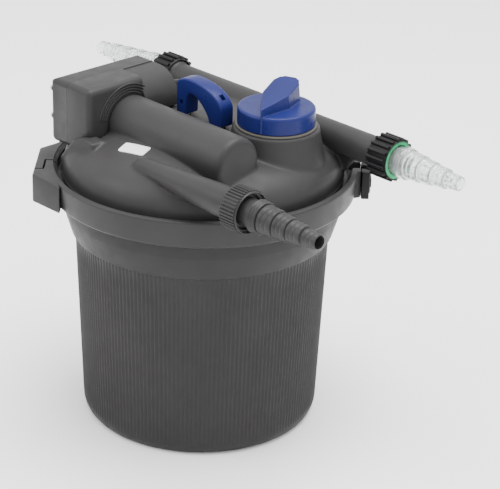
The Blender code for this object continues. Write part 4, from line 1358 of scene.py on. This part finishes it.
class Union(Assembly):
    """A union nut with grip ribs and the stepped hose adapter that it holds."""

    def __init__(self, book: FinishBook, side: Side, sizes: UnionSizes) -> None:
        """Say which end it is on and how big it is."""
        super().__init__(book)
        self.side = side
        self.sizes = sizes

    def adapter(self) -> bpy.types.Object:
        """The stepped hose adapter with barbs on each step."""
        s = self.sizes
        name, end, centre, axis = self.side.value
        body = s.collar + s.flange
        shoulder = body + s.neck_long
        outside: list[Point] = [(0.013, s.collar), (0.0198, s.collar), (0.0198, body),
                                (s.neck_r, body + 0.0006), (s.neck_r, shoulder)]
        inside: list[Point] = [(0.013, shoulder)]
        start = shoulder + 0.002
        for radius, wall, share in zip(s.hose_r, s.hose_wall, s.shares):
            stop = body + (s.long - body) * share
            span = (stop - start) / s.barbs
            outside.append((radius - 0.0016, start))
            for k in range(s.barbs):
                low = start + span * k
                outside += [(radius - 0.0003 - 0.0002 * k, low + 0.18 * span),
                            (radius - 0.0003 - 0.0002 * k, low + 0.36 * span),
                            (radius - 0.0015, low + 0.88 * span)]
            inside += [(radius - wall, start + 0.001), (radius - wall - 0.0004, stop)]
            start = stop
        return lathe(f"hose_tail_{name}", outside + inside[::-1], 72, (end, *centre), axis)

    def nut(self) -> bpy.types.Object:
        """The union nut."""
        s = self.sizes
        name, end, centre, axis = self.side.value
        lip = s.collar + s.flange + s.lip_gap
        hole = s.hose_r[0] + s.lip_gap
        skin = s.nut_r - s.rib_r * 1.35
        outline = [(s.thread_r, s.nut_low), (skin - 0.001, s.nut_low), (skin, s.nut_low + 0.002),
                   (skin, s.nut_high - 0.002), (skin - 0.001, s.nut_high),
                   (s.mouth_r, s.nut_high), (s.mouth_r, lip + s.lip), (hole, lip + s.lip),
                   (hole, lip), (s.thread_r, lip)]
        piece = lathe(f"grip_nut_{name}", soften(outline, 0.0008, 2), 96, (end, *centre), axis)
        flip = -1 if axis is Axis.LEFT else 1
        middle = end + flip * (s.nut_low + s.nut_high) / 2
        rig = rib_rig(s.ribs, s.nut_r - s.rib_r, s.rib_r, s.nut_high - s.nut_low - 0.004,
                      (middle, *centre), self.book.get(BLACK))
        return rig.use(piece)

    def build(self) -> None:
        """Build and dress the nut, the adapter and the right end's insert ring."""
        name = self.side.value[0]
        self.hand_over(self.nut(), GRAPHITE if self.side is Side.FRONT else BLACK,
                       f"nut_{name}", "black_plastic",
                       f"union_nut_{name}")
        clear = self.side is not Side.FRONT
        self.hand_over(self.adapter(), CLEAR if clear else GRAPHITE, "root",
                       "clear_plastic" if clear else "black_plastic",
                       f"hose_adapter_{name}")
        if self.side is Side.RIGHT:
            self.hand_over(self.mouth_ring(), GREEN, "root", "green_plastic",
                           "insert_ring")

    def mouth_ring(self) -> bpy.types.Object:
        """The coloured ring in the nut's mouth."""
        s = self.sizes
        end, centre, axis = self.side.value[1:]
        low = s.collar + s.flange + s.lip_gap + s.lip + s.ring_gap
        high, rim = low + s.ring_long, s.mouth_r - s.lip_gap
        outline = [(s.neck_r + 0.0006, low), (rim, low), (rim, high),
                   (s.neck_r + 0.0012, high)]
        return lathe("mouth_ring", soften(outline, 0.0009, 3), 72, (end, *centre), axis)


@dataclass(frozen=True)
class HeadSizes:
    """Sizes of the UVC head."""

    left: float = -0.131
    split: float = -0.101
    right: float = -0.062
    front: float = -0.117
    back: float = 0.012
    low: float = 0.325
    top: float = 0.402
    round: float = 0.007
    wall: float = 0.003
    side: float = 0.008
    bulge_start: float = -0.097
    bulge_end: float = -0.055
    bulge_front: float = -0.038
    bulge_drop: float = 0.035
    bulge_step: float = 0.0012
    bulge_low: float = 0.360
    tunnel: Point = (-0.060, 0.355)
    tunnel_r: float = 0.0316
    stub_r: float = 0.0266
    stub_bore: float = 0.0205
    stub_end: float = -0.044
    cover_round: float = 0.0115
    arcs: int = 4
    arc_first: float = 0.0335
    arc_step: float = 0.0032
    arc_thick: float = 0.0010
    screw_y: Point = (-0.113, 0.008)
    screw_z: Point = (0.355, 0.388)
    screw_end: float = -0.0853
    ballast_low: Spot = (-0.126, -0.106, 0.3867)
    ballast_high: Spot = (-0.068, -0.044, 0.3975)


class Head(Assembly):
    """The UVC head: housing and end cover."""

    sizes = HeadSizes()

    def shell(self, name: str, left: float, right: float, inner_left: float,
              inner_right: float) -> bpy.types.Object:
        """A rounded box that is hollow between two inner ends."""
        s = self.sizes
        piece = box(name, (left, s.front, s.low), (right, s.back, s.top), s.round, 8)
        combine(piece, Cut.KEEP, self.side_view("cover_side", 0.0))
        hollow = box("hollow", (inner_left, s.front + s.side, s.low + s.wall),
                     (inner_right, s.back - s.side, s.top - s.wall))
        combine(hollow, Cut.KEEP, self.side_view("hollow_side", s.wall))
        return combine(piece, Cut.REMOVE, hollow)

    def side_view(self, name: str, inset: float) -> bpy.types.Object:
        """A bar along Y with the cover's rounded left edges."""
        s = self.sizes
        left, low, top = s.left + inset, s.low + inset, s.top - inset
        reach = s.cover_round - inset
        outline = [(0.0, low), (0.0, top)]
        for edge, first in ((top, math.pi / 2), (low, math.pi)):
            middle = edge - reach if edge == top else edge + reach
            outline += [(left + reach + reach * math.cos(first + math.pi / 16 * k),
                         middle + reach * math.sin(first + math.pi / 16 * k))
                        for k in range(9)]
        return prism(name, outline, -0.3, 0.3, "Y")

    def drum_back(self, inset: float) -> list[Point]:
        """The quarter round, in XZ, that the head falls away with behind the tunnel."""
        s = self.sizes
        turns = [math.pi / 2 * i / 16 for i in range(17)]
        return [(s.bulge_start + (s.bulge_end - s.bulge_start - inset) * math.sin(t),
                 s.top - s.bulge_step - inset - s.bulge_drop * (1 - math.cos(t)))
                for t in turns]

    def beyond(self, name: str, inset: float) -> bpy.types.Object:
        """The space outside the quarter round."""
        s = self.sizes
        curve = self.drum_back(inset)
        outline = [*curve, (0.0, curve[-1][1]), (0.0, 0.45), (curve[0][0], 0.45)]
        return prism(name, outline, s.bulge_front - inset, s.back + 0.05, "Y")

    def build(self) -> None:
        """Build and dress the head."""
        s = self.sizes
        far = 0.3
        cover = self.shell("head_cover", s.left, s.split + 0.03, s.left + s.wall,
                           s.split + 0.04)
        combine(cover, Cut.REMOVE, box("rest", (s.split - 0.0003, -far, 0.2),
                                       (far, far, 0.6)))
        soften_edges(cover, 0.0008, 2, 60)
        self.hand_over(cover, CHARCOAL, "uvc_unit", "charcoal_plastic", "uvc_end_cover")
        housing = box("head_housing", (s.split - 0.03, s.front, s.low),
                      (s.right, s.back, s.top), s.round, 8)
        drum = box("drum", (s.right - 0.004, s.bulge_front + 0.0002, s.bulge_low),
                   (s.bulge_end, s.back - 0.0005, s.top - 0.003))
        combine(housing, Cut.JOIN, drum)
        combine(housing, Cut.REMOVE, self.beyond("past_drum", 0.0))
        hollow = box("hollow", (s.split - 0.04, s.front + s.side, s.low + s.wall),
                     (s.right - s.wall, s.back - s.side, s.top - s.wall))
        combine(hollow, Cut.REMOVE, self.beyond("drum_wall", s.wall + 0.001))
        ring = rod("tunnel_space", s.tunnel_r, s.right + 0.0002, 0.0, 64,
                   (0, *s.tunnel), Axis.RIGHT)
        combine(housing, Cut.REMOVE, hollow, ring,
                box("rest", (-far, -far, 0.2), (s.split, far, 0.6)))
        soften_edges(housing, 0.0012, 3, 50)
        stub = lathe("stub", soften([(s.stub_bore, s.right - s.wall + 0.0005),
                                     (s.stub_r, s.right - s.wall + 0.0005),
                                     (s.stub_r, s.stub_end), (s.stub_bore, s.stub_end)],
                                    0.0006), 64, (0, *s.tunnel), Axis.RIGHT)
        combine(housing, Cut.JOIN, stub)
        bore = rod("stub_bore", s.stub_bore, s.right - 0.01, s.stub_end + 0.01, 48,
                   (0, *s.tunnel), Axis.RIGHT)
        combine(housing, Cut.REMOVE, bore)
        arc_rig(s.arcs, s.arc_first, s.arc_step, s.arc_thick, (s.right, *s.tunnel),
                self.book.get(CHARCOAL)).use(housing)
        self.hand_over(housing, CHARCOAL, "uvc_unit", "charcoal_plastic", "uvc_housing")


class HeadFittings(Assembly):
    """The head's cover screws and the lamp's ballast."""

    sizes = HeadSizes()

    def build(self) -> None:
        """Build and dress the screws and the ballast."""
        s = self.sizes
        spots = [(y, z) for y in s.screw_y for z in s.screw_z]
        for number, (y, z) in enumerate(spots, 1):
            outline = [(0, s.left - 0.0006), (0.0030, s.left - 0.0006),
                       (0.0034, s.left - 0.0002), (0.0034, s.left + 0.0020),
                       (0.0016, s.left + 0.0020), (0.0016, s.screw_end), (0, s.screw_end)]
            screw = lathe(f"head_screw_{number}", outline, 24, (0, y, z), Axis.RIGHT)
            self.hand_over(screw, STEEL, "uvc_unit", "stainless_steel",
                           f"cover_screw_{number}")
        ballast = box("lamp_ballast", s.ballast_low, s.ballast_high, 0.0012, 3)
        self.hand_over(ballast, BLACK, "uvc_unit", "black_plastic", "ballast")


class CarriedNodes(Assembly):
    """The CAD nodes whose shape is right and only need their finish."""

    finishes = {"charcoal_plastic": CHARCOAL, "black_plastic": BLACK, "blue_plastic": BLUE,
                "clear_plastic": CLEAR, "green_plastic": GREEN, "rubber_seal": RUBBER,
                "filter_foam": FOAM, "stainless_steel": STEEL, "plate_white": PLATE,
                "lamp_white": WHITE, "quartz": QUARTZ}

    def build(self, frame: dict) -> None:
        """Dress every CAD node by its slot.
        """
        for part in frame["record"]["subparts"]:
            node = frame["nodes"][part["node"]]
            node.data.materials.clear()
            node.data.materials.append(self.book.get(self.finishes[part["material_slot"]]))


# ---- the studio ----

@dataclass(frozen=True)
class Studio:
    """Floor, soft light and camera."""

    look_at: Spot = (0.0396, 0.0396, 0.205)
    distance: float = 2.3
    azimuth: float = math.radians(45)
    elevation: float = math.radians(24.5)
    roll: float = math.radians(1.6)
    lens: float = 142.1

    def build(self) -> None:
        """Build the whole studio."""
        self.build_floor()
        self.build_world()
        self.add_light("key", (-1.6, -2.4, 2.6), 2.2, 70)
        self.add_light("fill", (2.8, -0.8, 1.6), 2.0, 20)
        self.add_light("top", (0.2, 0.4, 3.0), 2.4, 190)
        self.add_camera()

    def build_floor(self) -> None:
        """A pale floor with a faint mottle."""
        bm = bmesh.new()
        bmesh.ops.create_grid(bm, x_segments=1, y_segments=1, size=8)
        floor = add_object("floor", bm)
        sheet = NodeSheet("floor_card")
        sheet.ramp(sheet.noise(3, 2), [(0.3, (0.97, 0.97, 0.97)), (0.7, (0.99, 0.99, 0.99))],
                   sheet.shader.inputs["Base Color"])
        sheet.shader.inputs["Roughness"].default_value = 0.9
        floor.data.materials.append(sheet.material)

    def build_world(self) -> None:
        """A pale, even surround."""
        world = bpy.data.worlds.new("surround")
        world.use_nodes = True
        backdrop = world.node_tree.nodes["Background"]
        backdrop.inputs["Color"].default_value = (1.0, 1.0, 1.0, 1)
        backdrop.inputs["Strength"].default_value = 1.45
        bpy.context.scene.world = world

    def add_light(self, name: str, place: Spot, size: float, power: float) -> None:
        """Add a square soft light that faces the object."""
        data = bpy.data.lights.new(name, "AREA")
        data.size = size
        data.energy = power
        lamp = bpy.data.objects.new(name, data)
        bpy.context.scene.collection.objects.link(lamp)
        lamp.location = place
        aim = Vector(self.look_at) - Vector(place)
        lamp.rotation_euler = aim.to_track_quat("-Z", "Y").to_euler()

    def add_camera(self) -> None:
        """Add the camera and make it the scene's."""
        back = Vector((math.cos(self.elevation) * math.cos(self.azimuth),
                       -math.cos(self.elevation) * math.sin(self.azimuth),
                       math.sin(self.elevation)))
        data = bpy.data.cameras.new("camera")
        data.lens = self.lens
        data.sensor_width = 36
        camera = bpy.data.objects.new("camera", data)
        bpy.context.scene.collection.objects.link(camera)
        camera.location = Vector(self.look_at) + back * self.distance
        turn = back.to_track_quat("Z", "Y").to_matrix() @ Matrix.Rotation(self.roll, 3, "Z")
        camera.rotation_euler = turn.to_euler()
        bpy.context.scene.camera = camera


def corners(bounds: object) -> list[list[float]]:
    """The object's box as plain lists of numbers."""
    return [[float(c) for c in corner] for corner in bounds]


def main() -> None:
    """Build the pieces in order."""
    logging.basicConfig(level=logging.INFO, format="%(message)s")
    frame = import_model()
    book = FinishBook()
    CarriedNodes(book).build(frame)
    Studio().build()
    Canister(book).build()
    Lid(book).build()
    ClampRing(book).build()
    Handle(book).build()
    Knob(book).build()
    Head(book).build()
    HeadFittings(book).build()
    Union(book, Side.FRONT, FRONT_UNION).build()
    Union(book, Side.RIGHT, RIGHT_UNION).build()
    Union(book, Side.LEFT, LEFT_UNION).build()


if __name__ == "__main__":
    main()
